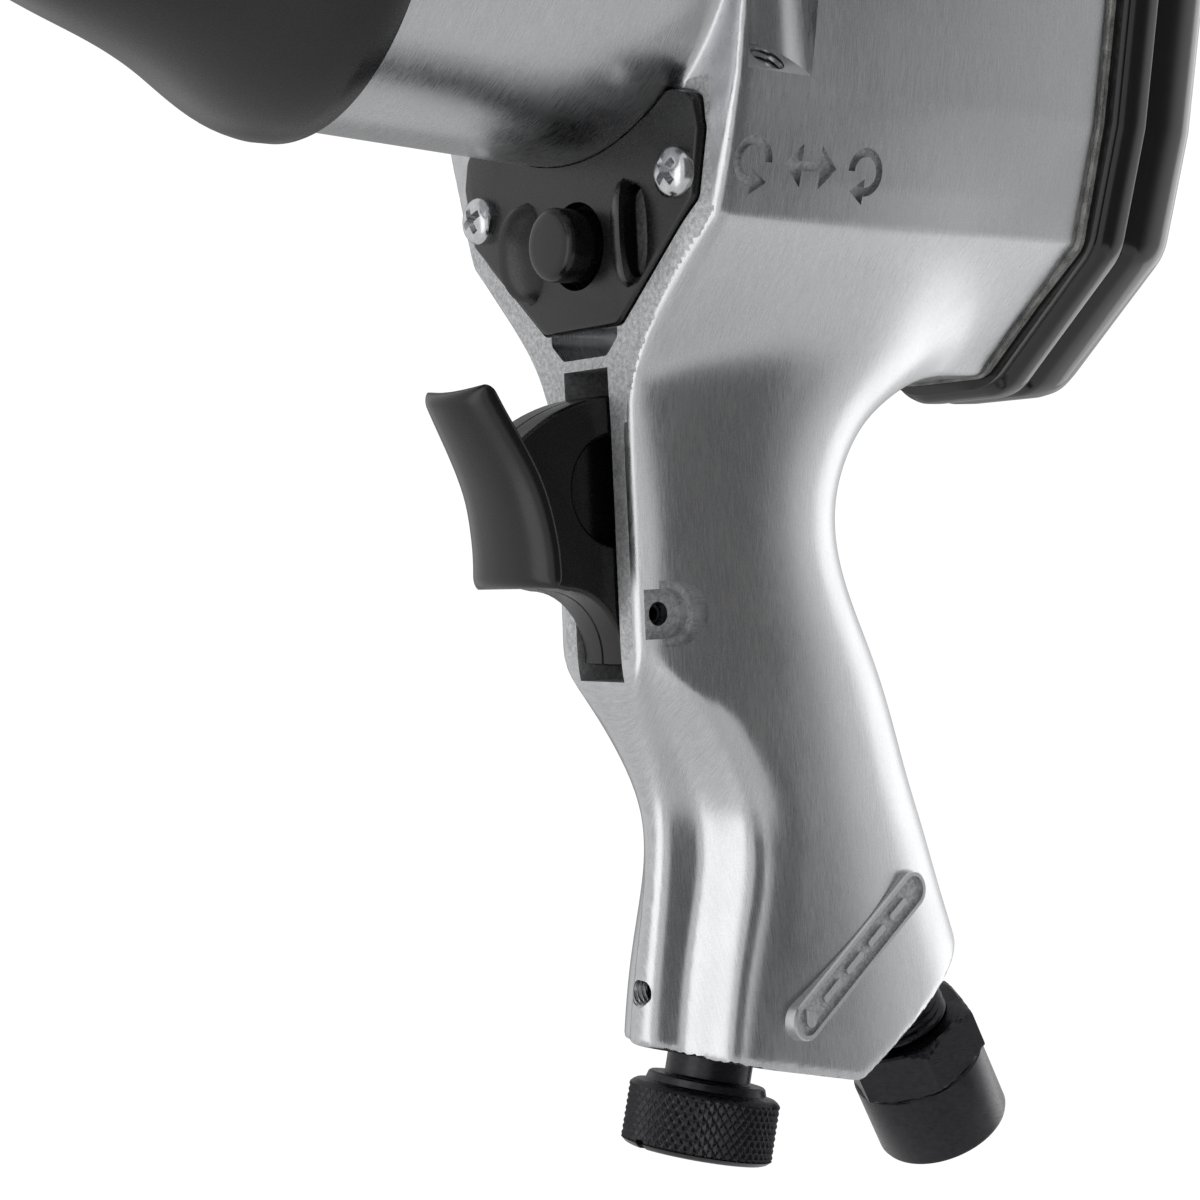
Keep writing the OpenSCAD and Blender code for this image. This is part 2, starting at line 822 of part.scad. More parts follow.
washer_front = cover_rear + 7.5;
module cover_screws() {
    color("#2a2b2d")
        for (p = cover_screw_at)
            translate([0, p[0], p[1]])
                difference() {
                    union() {
                        rod_x(washer_front, box_rear + 20, cover_screw_d - 0.1);
                        rod_x(washer_front - 1.2, washer_front - 6.2, 8.5);
                        rod_x(washer_front - 1.3, washer_front + 0.1, cover_screw_d - 0.1);
                    }
                    // Hexagon socket in the head.
                    rod_x(washer_front - 3.4, washer_front - 7, 4.6, 6);
                }
}
module cover_washers() {
    color("#a8aaad")
        for (p = cover_screw_at)
            translate([0, p[0], p[1]])
                tube_x(washer_front, washer_front - 1.2, 10.6, cover_screw_d);
}

// ---- reverse valve ------------------------------------------------------------

louvre_y = 12.2;
module reverse_plate() {
    color("#1f1f20")
        difference() {
            union() {
                difference() {
                    slab_x(plate_outline(0), plate_back, plate_front);
                    // Upper edge follows the barrel.
                    rod_x(plate_back - 1, plate_front + 1, barrel_rear_d + 0.6);
                }
                for (s = [-1, 1])
                    louvre(s);
            }
            for (s = [-1, 1]) {
                translate([0, s * plate_screw_y, plate_screw_z])
                    rod_x(plate_back - 1, plate_front + 1, 4.3);
                louvre_slot(s);
            }
            translate([0, 0, valve_z])
                rod_x(plate_back - 1, plate_front + 4, button_d + 2);
        }
}
// A pressed hood beside the button, open on its outer side.
module louvre(s) {
    translate([plate_front - 0.4, s * louvre_y, -49.5])
        intersection() {
            translate([-3.4, 0, 0])
                cylinder(h = 15, d = 11, center = true);
            translate([0, -4, -7.5])
                cube([2.2, 8, 15]);
        }
}
module louvre_slot(s) {
    translate([plate_back - 1, s * (louvre_y + 2.9) - 1.1, -56])
        cube([plate_thick + 2.2, 2.2, 13]);
}

module reverse_plate_screws() {
    head_d = 7.4;
    color("#c9cbce")
        for (s = [-1, 1])
            translate([0, s * plate_screw_y, plate_screw_z])
                difference() {
                    union() {
                        rod_x(plate_back - 8.5, plate_front, 3.8);
                        turned_x([[plate_front, 0], [plate_front, head_d / 2],
                            [plate_front + 1.2, head_d / 2 - 0.2], [plate_front + 2.2, head_d / 2 - 1.4],
                            [plate_front + 2.5, 0]]);
                    }
                    // Cross recess.
                    for (a = [0, 90])
                        rotate([a, 0, 0])
                            translate([plate_front + 0.9, -2, -0.45])
                                cube([3, 4, 0.9]);
                }
}

module reverse_valve_sleeve() {
    color("#b5a642")
        translate([0, 0, valve_z])
            difference() {
                tube_x(plate_back - 14, box_rear + 2, sleeve_d, spool_d + 2 * run);
                for (d = [24, 40, 56])
                    translate([plate_back - d, 0, 0])
                        cylinder(h = 20, d = 5, center = true);
            }
}

button_face = plate_front + button_out;
module reverse_button() {
    color("#191919")
        translate([0, 0, valve_z])
            union() {
                turned_x([[button_face, 0], [button_face, button_d / 2 - 0.9],
                    [button_face - 0.9, button_d / 2], [plate_back - 6, button_d / 2], [plate_back - 6, 0]]);
                rod_x(plate_back - 6, plate_back - 9, 6);
            }
}
module reverse_spool() {
    lands = [[14.5, 22], [30, 40], [48, 58]];
    color("#9fa1a4")
        translate([0, 0, valve_z])
            union() {
                rod_x(plate_back - 9, plate_back - 66, 5.5);
                for (l = lands)
                    rod_x(plate_back - l[0], plate_back - l[1], spool_d);
            }
}

module detent_ball() {
    color("#c8cacc")
        translate([detent_x, 0, detent_z - 1.7])
            sphere(d = 3.2);
}
module detent_spring() {
    color("#8e9093")
        translate([detent_x, 0, detent_z - 7.4])
            difference() {
                cylinder(h = 4, d = 3);
                translate([0, 0, -1])
                    cylinder(h = 6, d = 2);
            }
}

// ---- trigger and throttle -------------------------------------------------------

// Point on a circle about the trigger's pivot, as [x, z].
function about_pivot(r, a) = [pivot_x + r * cos(a), pivot_z + r * sin(a)];
web_r = 33;
web_back = slot_back + 7.5;
web_back_angle = acos((web_back - pivot_x) / web_r);
module trigger() {
    half = trigger_w / 2;
    face = [[-24.6, -73], [-28.2, -80], [-31.4, -87], [-33, -93], [-33, -99.5]];
    front = [for (p = face) [ring_x + p[0], p[1]]];
    back = [for (i = [len(front) - 1 : -1 : 0]) front[i] + [-3.2, i == 0 ? -0.4 : 0.3]];
    arc = [for (k = [0 : 8]) about_pivot(web_r, 54 + (web_back_angle - 54) * k / 8)];
    tail = [for (k = [0 : 6]) about_pivot(7.9, 215 + 73 * k / 6)];
    // The underside is scooped out between the tail and the finger plate.
    scoop = [for (k = [0 : 6]) [pivot_x + 13.5, pivot_z - 6.5] + 10.6 * [cos(185 - 92 * k / 6), sin(185 - 92 * k / 6)]];
    color("#17181a")
        difference() {
            union() {
                slab_y(concat(front, back), -half, half);
                slab_y(concat(arc, [[web_back, pivot_z + 3]], tail, scoop,
                    [[ring_x - 34.5, -99.4], [ring_x - 35, -93], [ring_x - 33.5, -86.5], [ring_x - 30, -80]]),
                    -web_half, web_half);
            }
            translate([pivot_x, 0, pivot_z])
                rotate([90, 0, 0])
                    cylinder(h = 40, d = trigger_pin_d + 2 * run, center = true);
            // Shallow round recess in each side of the web.
            for (s = [-1, 1])
                translate([behind(50), s * (web_half + 4.4), -87])
                    rotate([90, 0, 0])
                        cylinder(h = 10, d = 16, center = true);
        }
}

module trigger_pin() {
    color("#4a4c4f")
        translate([pivot_x, 0, pivot_z])
            rotate([90, 0, 0])
                cylinder(h = 17, d = trigger_pin_d, center = true);
}

stem_d = 5;
stem_front = web_back - 0.3;
stem_back = slot_back - throttle_len - 6;
module throttle_bushing() {
    color("#b5a642")
        translate([0, 0, throttle_z])
            tube_x(slot_back, slot_back - throttle_len, bushing_d, stem_d + 2 * run);
}
module throttle_stem() {
    color("#aeb0b3")
        translate([0, 0, throttle_z])
            union() {
                rod_x(stem_front, stem_back, stem_d);
                rod_x(stem_back + 3.4, stem_back + 1.6, 11);
            }
}
module throttle_seal() {
    color("#202020")
        translate([0, 0, throttle_z])
            tube_x(stem_back + 5.4, stem_back + 3.4, 10.4, stem_d);
}
module throttle_spring() {
    color("#8e9093")
        translate([0, 0, throttle_z])
            tube_x(stem_back + 1.6, chamber_back, 9, 7);
}

// ---- regulator ------------------------------------------------------------------

knob_drop = 3.7;
knob_flange = 18.5;
knob_h = 10;
module regulator_knob() {
    color("#26272a")
        at_regulator()
            union() {
                translate([0, 0, -knob_drop])
                    cylinder(h = knob_drop + regulator_seat - 2.4, d = knob_neck_d);
                translate([0, 0, -knob_drop - 1.6])
                    cylinder(h = 1.6, d1 = knob_flange + 2, d2 = knob_flange);
                translate([0, 0, -knob_drop - 1.6 - knob_h])
                    difference() {
                        union() {
                            translate([0, 0, 0.8])
                                cylinder(h = knob_h - 1.6, d = knob_d);
                            cylinder(h = 0.8, d1 = knob_d - 1.6, d2 = knob_d);
                            translate([0, 0, knob_h - 0.8])
                                cylinder(h = 0.8, d1 = knob_d, d2 = knob_d - 1.6);
                        }
                        // Screwdriver slot in the end.
                        translate([-knob_d, -0.8, -1])
                            cube([2 * knob_d, 1.6, 2.2]);
                    }
                cylinder(h = 30, d = 5.6);
            }
}
module regulator_o_ring() {
    color("#161616")
        at_regulator()
            translate([0, 0, regulator_seat - 1.2])
                rotate_extrude()
                    translate([3.8, 0])
                        circle(d = 1.9, $fn = 32);
}
module regulator_set_screw() {
    color("#303134")
        translate([0, 0, set_screw_z])
            difference() {
                rod_x(set_screw_face, set_screw_tip, set_screw_d - 0.1);
                rod_x(set_screw_face + 1.5, set_screw_face - set_screw_socket, 2.2, 6);
            }
}

// ---- air inlet --------------------------------------------------------------------

hex_af = 22;
hex_top = 9.5;
hex_h = 8.5;
collar_len = 13.5;
module inlet_bushing() {
    bushing_end = -hex_top - hex_h - collar_len;
    color("#1d1e20")
        at_inlet()
            difference() {
                union() {
                    translate([0, 0, -hex_top])
                        cylinder(h = hex_top + inlet_thread_len - 1, d = inlet_thread_d);
                    intersection() {
                        translate([0, 0, -hex_top - hex_h])
                            cylinder(h = hex_h, d = hex_af / cos(30), $fn = 6);
                        translate([0, 0, -hex_top - hex_h - 8])
                            cylinder(h = hex_h + 8, d1 = hex_af + 14, d2 = hex_af - 0.6);
                    }
                    translate([0, 0, bushing_end + 0.8])
                        cylinder(h = collar_len - 0.8 + eps, d = collar_d);
                    translate([0, 0, bushing_end])
                        cylinder(h = 0.8, d1 = collar_d - 1.6, d2 = collar_d);
                }
                translate([0, 0, bushing_end - 1])
                    cylinder(h = collar_len + 4, d = inlet_bore);
                translate([0, 0, bushing_end])
                    cylinder(h = 60, d = 10.5);
            }
}
module inlet_screen() {
    color("#9a9c9f")
        at_inlet()
            translate([0, 0, -hex_top - hex_h + 3])
                difference() {
                    cylinder(h = 9, d = 10.4);
                    translate([0, 0, -1])
                        cylinder(h = 9, d = 9.2);
                }
}

housing();
nose_boot();
nose_bush();
anvil_seal();
thrust_washer();
anvil();
socket_ring();
socket_o_ring();
hammer_cage();
hammer_pins();
hammer_front();
hammer_rear();
rotor();
rotor_blades();
front_end_plate();
rear_end_plate();
cylinder_liner();
bearing_outer_races();
bearing_inner_races();
bearing_balls();
locating_pin();
rear_gasket();
rear_cover();
cover_screws();
cover_washers();
reverse_plate();
reverse_plate_screws();
reverse_valve_sleeve();
reverse_button();
reverse_spool();
detent_ball();
detent_spring();
trigger();
trigger_pin();
throttle_bushing();
throttle_stem();
throttle_seal();
throttle_spring();
regulator_knob();
regulator_o_ring();
regulator_set_screw();
inlet_bushing();
inlet_screen();
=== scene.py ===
# %% [markdown]
# # Pneumatic impact wrench
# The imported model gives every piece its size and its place. This script keeps
# those places and gives each piece the shape and finish of the real one. All
# the shapes below are worked out in millimetres, in the same frame: +X out of
# the nose, +Y to the tool's left, +Z up. They turn to metres only when a mesh
# is made.

# %% Load the frame
import json
import math
import bmesh
import bpy
import numpy as np
from mathutils import Matrix, Vector


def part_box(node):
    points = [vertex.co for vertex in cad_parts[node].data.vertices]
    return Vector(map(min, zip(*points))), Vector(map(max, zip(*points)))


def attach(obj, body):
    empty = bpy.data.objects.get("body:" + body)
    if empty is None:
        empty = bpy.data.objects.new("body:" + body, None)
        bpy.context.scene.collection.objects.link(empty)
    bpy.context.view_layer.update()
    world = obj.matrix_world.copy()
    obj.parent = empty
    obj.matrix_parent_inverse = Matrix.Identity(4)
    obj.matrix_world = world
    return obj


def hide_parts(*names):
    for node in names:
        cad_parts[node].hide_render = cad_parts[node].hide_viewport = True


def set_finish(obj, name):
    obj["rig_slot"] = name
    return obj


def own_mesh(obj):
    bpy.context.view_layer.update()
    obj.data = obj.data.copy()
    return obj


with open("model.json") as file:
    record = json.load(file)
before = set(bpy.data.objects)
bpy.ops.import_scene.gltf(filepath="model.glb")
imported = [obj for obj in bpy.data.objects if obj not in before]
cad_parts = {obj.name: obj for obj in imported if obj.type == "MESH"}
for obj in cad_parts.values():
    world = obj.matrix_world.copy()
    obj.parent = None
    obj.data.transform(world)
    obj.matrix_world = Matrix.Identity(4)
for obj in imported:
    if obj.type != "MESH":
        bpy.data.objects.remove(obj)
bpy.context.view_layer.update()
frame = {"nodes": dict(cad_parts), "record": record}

# %% [markdown]
# ## Stations along the tool
# A maker sets out a long tool by stations. The boot's rear ring is the datum
# here, and most depths are given as a distance behind it. The datum and the
# other main stations are read from the frame, so they can't drift from it.

# %% Stations
MM = 1000.0


def low(node):
    return [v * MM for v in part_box(node)[0]]


def high(node):
    return [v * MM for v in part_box(node)[1]]


RING = low("nose_boot")[0]
PLATE_BACK = low("reverse_plate")[0]
BOX_FRONT = PLATE_BACK + 0.5
BOX_REAR = high("rear_gasket")[0]
COVER_FRONT = low("rear_gasket")[0]
COVER_REAR = low("rear_cover")[0]
PLATE_FRONT = PLATE_BACK + 2.5
BUTTON_FACE = high("reverse_button")[0]
TRIGGER_PIN = [(a + b) / 2 for a, b in zip(low("trigger_pin"), high("trigger_pin"))]
HANDLE_LOW = -low("housing")[2]


def behind(d):
    return RING - d


print("ring", round(RING, 1), "box", round(BOX_FRONT, 1), round(BOX_REAR, 1))

# %% [markdown]
# ## Camera
# The tool is seen from its left and a little ahead, slightly from below, with
# a long lens, so that its sides stay nearly parallel. The camera's three
# directions are given as vectors, because that is how such a view is measured.

# %% Camera
CAMERA_PLACE = Vector((75.2, 248.6, -93.8)) / MM
CAMERA_RIGHT = Vector((-0.7818, 0.6220, -0.0443))
CAMERA_UP = Vector((-0.0530, 0.0045, 0.9986))
LENS_MM = 63.0


def make_camera():
    camera = bpy.data.objects.new("camera", bpy.data.cameras.new("camera"))
    bpy.context.scene.collection.objects.link(camera)
    camera.data.lens = LENS_MM
    camera.data.sensor_width = 36.0
    camera.data.clip_start = 0.01
    back = CAMERA_RIGHT.cross(CAMERA_UP).normalized()
    turn = Matrix((CAMERA_RIGHT, CAMERA_UP, back)).transposed().to_4x4()
    camera.matrix_world = Matrix.Translation(CAMERA_PLACE) @ turn
    bpy.context.scene.camera = camera
    print("camera:", LENS_MM, "mm lens at", [round(v * MM) for v in CAMERA_PLACE], "mm")


make_camera()
bpy.context.scene.view_settings.view_transform = "Standard"

# %% [markdown]
# ## Colours and nodes
# Hex colours are how paint and plastic makers give a shade, and they are in
# sRGB. The shader works in linear light, so one function converts them. One
# other function adds a node to a material, sets it and joins it up.

# %% Helpers for materials
def linear(hex_colour):
    parts = [int(hex_colour[i:i + 2], 16) / 255 for i in (0, 2, 4)]
    return [p / 12.92 if p <= 0.04045 else ((p + 0.055) / 1.055) ** 2.4 for p in parts] + [1.0]


def add(tree, kind, values=None, links=None, **settings):
    node = tree.nodes.new(kind)
    for name, value in settings.items():
        setattr(node, name, value)
    for name, value in (values or {}).items():
        node.inputs[name].default_value = value
    for name, source in (links or {}).items():
        tree.links.new(source, node.inputs[name])
    return node


def new_material(name):
    material = bpy.data.materials.new(name)
    material.use_nodes = True
    material.node_tree.nodes.clear()
    return material, material.node_tree


def finish_material(tree, values, links):
    shader = add(tree, "ShaderNodeBsdfPrincipled", values=values, links=links)
    add(tree, "ShaderNodeOutputMaterial", links={"Surface": shader.outputs["BSDF"]})


# %% [markdown]
# ## Studio
# Bright metal has no colour of its own: it shows what stands around it. The
# real tool is lit from both ends, with the dark room on the viewer's side, and
# that is what gives it bright edges and grey flanks. So the world is white, two
# soft lights stand at the ends, and a curved card stands on each side, dark on
# the viewer's, where only reflections can see it.

# %% Studio
TOOL_MIDDLE = Vector((behind(60), 0, -70)) / MM
FLOOR_DEPTH, FLOOR_RADIUS, DOME_RADIUS = 0.62, 1.3, 2.2
LIGHT_DISTANCE = 0.8


def emission(name, strength_low, strength_high):
    """A plain light card whose strength grows towards its two upright edges."""
    material, tree = new_material(name)
    place = add(tree, "ShaderNodeTexCoord")
    split = add(tree, "ShaderNodeSeparateXYZ", links={"Vector": place.outputs["Generated"]})
    off = add(tree, "ShaderNodeMath", operation="SUBTRACT", values={1: 0.5}, links={0: split.outputs["X"]})
    far = add(tree, "ShaderNodeMath", operation="ABSOLUTE", links={0: off.outputs[0]})
    span = {"From Min": 0.36, "From Max": 0.5, "To Min": strength_low, "To Max": strength_high}
    level = add(tree, "ShaderNodeMapRange", interpolation_type="SMOOTHSTEP", values=span,
                links={"Value": far.outputs[0]})
    glow = add(tree, "ShaderNodeEmission", links={"Strength": level.outputs[0]})
    add(tree, "ShaderNodeOutputMaterial", links={"Surface": glow.outputs[0]})
    return material


def make_card(name, azimuth_from, azimuth_to, low_z, high_z, radius, material):
    steps = 48
    corners = []
    for i in range(steps + 1):
        angle = math.radians(azimuth_from + (azimuth_to - azimuth_from) * i / steps)
        spot = TOOL_MIDDLE + radius * Vector((math.cos(angle), math.sin(angle), 0))
        corners += [(spot.x, spot.y, low_z), (spot.x, spot.y, high_z)]
    faces = [(2 * i, 2 * i + 2, 2 * i + 3, 2 * i + 1) for i in range(steps)]
    mesh = bpy.data.meshes.new(name)
    mesh.from_pydata(corners, [], faces)
    mesh.materials.append(material)
    card = bpy.data.objects.new(name, mesh)
    bpy.context.scene.collection.objects.link(card)
    card.visible_camera = False
    card.visible_shadow = False


def soft_light(name, azimuth, size, power):
    light = bpy.data.lights.new(name, "AREA")
    light.shape = "RECTANGLE"
    light.size, light.size_y = size
    light.energy = power
    lamp = bpy.data.objects.new(name, light)
    bpy.context.scene.collection.objects.link(lamp)
    angle = math.radians(azimuth)
    lamp.location = TOOL_MIDDLE + LIGHT_DISTANCE * Vector((math.cos(angle), math.sin(angle), 0))
    lamp.rotation_euler = (TOOL_MIDDLE - lamp.location).to_track_quat("-Z", "Y").to_euler()
    lamp.visible_camera = False


def make_backdrop():
    """A white dome that only the camera sees, so it doesn't wash out the metal."""
    material, tree = new_material("lit_white_cloth")
    glow = add(tree, "ShaderNodeEmission", values={"Strength": 1.05})
    add(tree, "ShaderNodeOutputMaterial", links={"Surface": glow.outputs[0]})
    bpy.ops.mesh.primitive_uv_sphere_add(segments=48, ring_count=24, radius=DOME_RADIUS,
                                         location=TOOL_MIDDLE)
    dome = bpy.context.object
    dome.name = "backdrop"
    dome.data.materials.append(material)
    dome.visible_glossy = dome.visible_diffuse = False
    dome.visible_shadow = dome.visible_transmission = False


def make_studio():
    world = bpy.data.worlds.new("white_room")
    world.use_nodes = True
    world.node_tree.nodes["Background"].inputs["Color"].default_value = (1, 1, 1, 1)
    world.node_tree.nodes["Background"].inputs["Strength"].default_value = 0.8
    bpy.context.scene.world = world
    make_backdrop()
    soft_light("front_softbox", 2, (0.42, 1.7), 2.1)
    soft_light("rear_softbox", 178, (0.4, 1.0), 1.25)
    make_card("viewer_side_card", 42, 150, -0.42, 0.75, 0.7, emission("dark_card", 0.15, 0.8))
    make_card("far_side_card", 206, 262, -0.5, 0.75, 0.9, emission("grey_card", 0.34, 0.6))
    material, tree = new_material("matt_white_paint")
    grain = add(tree, "ShaderNodeTexNoise", values={"Scale": 40.0})
    tint = add(tree, "ShaderNodeMapRange", links={"Value": grain.outputs[0]},
               values={"To Min": 0.9, "To Max": 0.94})
    finish_material(tree, {"Roughness": 0.9}, {"Base Color": tint.outputs[0]})
    bpy.ops.mesh.primitive_circle_add(vertices=96, radius=FLOOR_RADIUS, fill_type="NGON",
                                      location=(TOOL_MIDDLE.x, 0, -FLOOR_DEPTH))
    floor = bpy.context.object
    floor.name = "floor"
    floor.data.materials.append(material)
    print("studio: two soft lights, two cards, a backdrop and a floor")


make_studio()

# %% [markdown]
# ## The casting's shape
# The housing is one aluminium casting: barrel, motor box and grip flow into
# each other with wide fillets, and later a linisher runs over them. Polygons
# joined by hand would show every seam in such a polish. So the casting is
# described as a field: for any point, roughly how far it is outside the metal.
# Fields blend with a soft minimum, which is exactly a fillet. A mesh is then
# wrapped round the zero level, and slots and holes are cut in it afterwards,
# as a machinist does.

# %% Field helpers
def soft_min(a, b, k):
    h = np.maximum(k - np.abs(a - b), 0.0) / k
    return np.minimum(a, b) - h ** 3 * k / 6.0


def soft_max(a, b, k):
    return -soft_min(-a, -b, k)


def ease(t):
    t = np.clip(t, 0.0, 1.0)
    return t * t * (3 - 2 * t)


def curve_through(knots, values):
    """A natural cubic spline through the points, as a function."""
    t, v = np.array(knots, float), np.array(values, float)
    h = np.diff(t)
    n = len(t)
    system, right = np.eye(n), np.zeros(n)
    for i in range(1, n - 1):
        system[i, i - 1:i + 2] = h[i - 1], 2 * (h[i - 1] + h[i]), h[i]
        right[i] = 6 * ((v[i + 1] - v[i]) / h[i] - (v[i] - v[i - 1]) / h[i - 1])
    bend = np.linalg.solve(system, right)

    def at(s):
        s = np.clip(s, t[0], t[-1])
        i = np.clip(np.searchsorted(t, s) - 1, 0, n - 2)
        a, b = (t[i + 1] - s) / h[i], (s - t[i]) / h[i]
        curved = ((a ** 3 - a) * bend[i] + (b ** 3 - b) * bend[i + 1]) * h[i] ** 2 / 6
        return a * v[i] + b * v[i + 1] + curved
    return at


def outline_distance(u, v, corners):
    """Signed distance to a closed outline, negative inside."""
    nearest, inside = np.inf, False
    for (ax, ay), (bx, by) in zip(corners, corners[1:] + corners[:1]):
        ex, ey = bx - ax, by - ay
        t = np.clip(((u - ax) * ex + (v - ay) * ey) / (ex * ex + ey * ey), 0, 1)
        nearest = np.minimum(nearest, (u - ax - ex * t) ** 2 + (v - ay - ey * t) ** 2)
        slope = ex / (by - ay) if by != ay else 0.0
        inside = inside ^ (((ay <= v) != (by <= v)) & (u < (v - ay) * slope + ax))
    return np.where(inside, -1.0, 1.0) * np.sqrt(nearest)


# %% [markdown]
# ## The motor box, barrel and nose
# The box's outline is a house shape stood on its head: straight sides that
# lean in below the middle, then an underside that slopes to a narrow keel. The
# barrel is a gentle cone and the nose a steeper one under the rubber boot.

# %% Box, barrel and nose
BOX_HALF, BOX_TOP, BOX_BOTTOM = 39.0, high("housing")[2], 69.5
BOX_RIGHT = [(BOX_HALF - 14, BOX_TOP), (BOX_HALF, BOX_TOP - 14), (BOX_HALF, -10), (BOX_HALF - 3.6, -31),
             (BOX_HALF - 9.0, -49.6), (BOX_HALF - 18.6, -58.5), (9, -BOX_BOTTOM + 0.4)]
BOX_OUTLINE = BOX_RIGHT[::-1] + [(-y, z) for y, z in BOX_RIGHT]
BARREL_FRONT_R, BARREL_REAR_R, BARREL_LEN = 35.5, 37.5, 40.0
NOSE_TIP = high("nose_boot")[0] + 6


def inset(corners, d):
    """The outline moved inwards by d, corner by corner."""
    moved = []
    for p, q, r in zip(corners[-1:] + corners[:-1], corners, corners[1:] + corners[:1]):
        a, b = Vector(q) - Vector(p), Vector(r) - Vector(q)
        a, b = a.normalized(), b.normalized()
        n = Vector((a.y, -a.x)) + Vector((b.y, -b.x))
        moved.append(tuple(Vector(q) - d * n / (1 + a.dot(b))))
    return moved


BOX_EDGE = 1.6
BOX_CORE = inset(BOX_OUTLINE, BOX_EDGE)
SAW_ROOM = 4                    # the box is wrapped this much too long, then cut off flat


def box_field(x, y, z):
    side = outline_distance(y, z, BOX_CORE)
    middle, half_long = (BOX_FRONT + BOX_REAR - SAW_ROOM) / 2, (BOX_FRONT - BOX_REAR + SAW_ROOM) / 2
    end = np.abs(x - middle) - half_long + BOX_EDGE
    outer = np.sqrt(np.maximum(side, 0) ** 2 + np.maximum(end, 0) ** 2)
    return outer + np.minimum(np.maximum(side, end), 0) - BOX_EDGE


nose_radius = curve_through([0, 9.7, 15.7, 21.5, 27, 32.8, 40, 46],
                            [34.8, 32.3, 28.9, 26.0, 23.8, 21.9, 19.2, 19.1])


def barrel_field(x, y, z):
    r = np.sqrt(y * y + z * z)
    along = (RING - x) / BARREL_LEN
    barrel_r = BARREL_FRONT_R + (BARREL_REAR_R - BARREL_FRONT_R) * np.clip(along, 0, 1.3)
    barrel = np.maximum(r - barrel_r, x - RING)
    nose = np.maximum(r - nose_radius(x - RING), x - NOSE_TIP)
    return np.minimum(barrel, np.maximum(nose, RING - 8 - x))


# %% [markdown]
# ## The grip
# Each level of the grip is a squared oval. Its front and back follow smooth
# curves down the grip. Two things give it its character. The front is faced
# flat beside the trigger's slot, and below the slot a hollow for the fingers
# runs down each side, behind a narrow nose: its edge starts at the trigger's
# pin, swings back and comes forward again near the foot. All the curves below
# are given by depth under the tool's axis; those in a "behind" or "front" are
# distances behind the datum, and those in a "half" are half widths.

# %% Grip
OVAL = 2.27                     # 2 would be a plain oval, more is squarer
FACE = 47.2                     # the flat front beside the slot, behind the datum
LEVELS = [44, 52, 58, 64, 70, 76, 82, 89, 97, 106, 115, 125, 135, 145, 155, 165, 176, 190]
grip_front = curve_through(LEVELS, [FACE] * 10 + [47.7, 51.4, 55, 55.2, 53.6, 51.8, 50.4, 49])
grip_back = curve_through(LEVELS, [122, 119, 117.6, 115.5, 109.6, 101.4, 95.9, 92.5, 92.2, 95.3,
                                   99.8, 104, 107.5, 111.3, 114.8, 118.4, 121.4, 125])
grip_half = curve_through(LEVELS, [29, 26, 23.6, 20.8, 18.6, 17.4, 17, 17, 17, 17,
                                   17, 16.8, 16.6, 16.6, 16.8, 17, 17, 17])
face_half = curve_through([36, 44, 53, 61, 68.3, 76, 90, 112, 190],
                          [29, 25.6, 20.6, 14.2, 10.2, 9.1, 8.7, 8.7, 8.7])
oval_front = curve_through([44, 80, 112, 125, 138, 150, 161, 176, 190],
                           [FACE, FACE, FACE, 46.8, 46.5, 45.4, 44.6, 44, 43.6])
nose_half = curve_through([90, 106, 112, 120, 130, 138, 160, 190],
                          [12.5, 10.2, 8.9, 6.2, 4.0, 3.2, 3.0, 3.2])
crease_behind = curve_through([90, 100, 110, 116.5, 125, 132, 139, 147, 155, 164, 172, 182],
                              [44, 46, 48.4, 50.8, 56, 59.8, 61.6, 61.2, 59.4, 57.6, 56.4, 55.4])
ridge_behind = curve_through([90, 106, 116, 123, 130, 138, 146, 154, 163, 172, 182],
                             [47, 51, 55.4, 59.4, 63, 65.9, 66.2, 64.4, 62, 60.4, 59])


def grip_field(x, y, z):
    depth = -z
    half, face = grip_half(depth), face_half(depth)
    front, back = grip_front(depth), grip_back(depth)
    reach = (1 - np.clip(face / half, 0, 0.93) ** OVAL) ** (1 / OVAL)
    long = (back - oval_front(depth)) / (1 + reach)
    middle = back - long
    d = RING - x
    u, v = np.abs(d - middle) / long, np.abs(y) / half
    size = np.maximum(u ** OVAL + v ** OVAL, 1e-6) ** (1 / OVAL)
    steep = size ** (1 - OVAL) * np.sqrt((u ** (OVAL - 1) / long) ** 2 + (v ** (OVAL - 1) / half) ** 2)
    oval = (size - 1) / np.maximum(steep, 0.02)
    below = ease((depth - 112) / 12)
    faced = soft_max(oval, front - d, 1.2 + 1.8 * below)
    crease, ridge = crease_behind(depth), ridge_behind(depth)
    past = d - crease
    share = (past + np.sqrt(past * past + 1.2)) / 2 / np.maximum(ridge - crease, 2.0)
    limit = nose_half(depth) + 0.22 * (d - front) + 8.6 * np.sin(np.minimum(share, 1) * math.pi / 2)
    limit = limit + 1.2 * np.maximum(d - ridge, 0)
    return soft_max(faced, (np.abs(y) - limit) * 0.72, 1.3 + 4.2 * below)


print("grip:", len(LEVELS), "levels, from", LEVELS[0], "to", LEVELS[-1], "mm below the tool's axis")


# %% [markdown]
# ## The foot
# The grip's foot is sawn off by two sloping faces that meet in one edge. The
# front one carries the regulator and the rear one the air inlet.

# %% Foot and the whole casting
KNOB_TILT, INLET_TILT = math.radians(15.5), math.radians(27)
EDGE_X = behind(83)


def foot_field(x, z):
    front = -(z + HANDLE_LOW) * math.cos(KNOB_TILT) + (x - EDGE_X) * math.sin(KNOB_TILT)
    rear = -(z + HANDLE_LOW) * math.cos(INLET_TILT) - (x - EDGE_X) * math.sin(INLET_TILT)
    return soft_max(front, rear, 1.0)


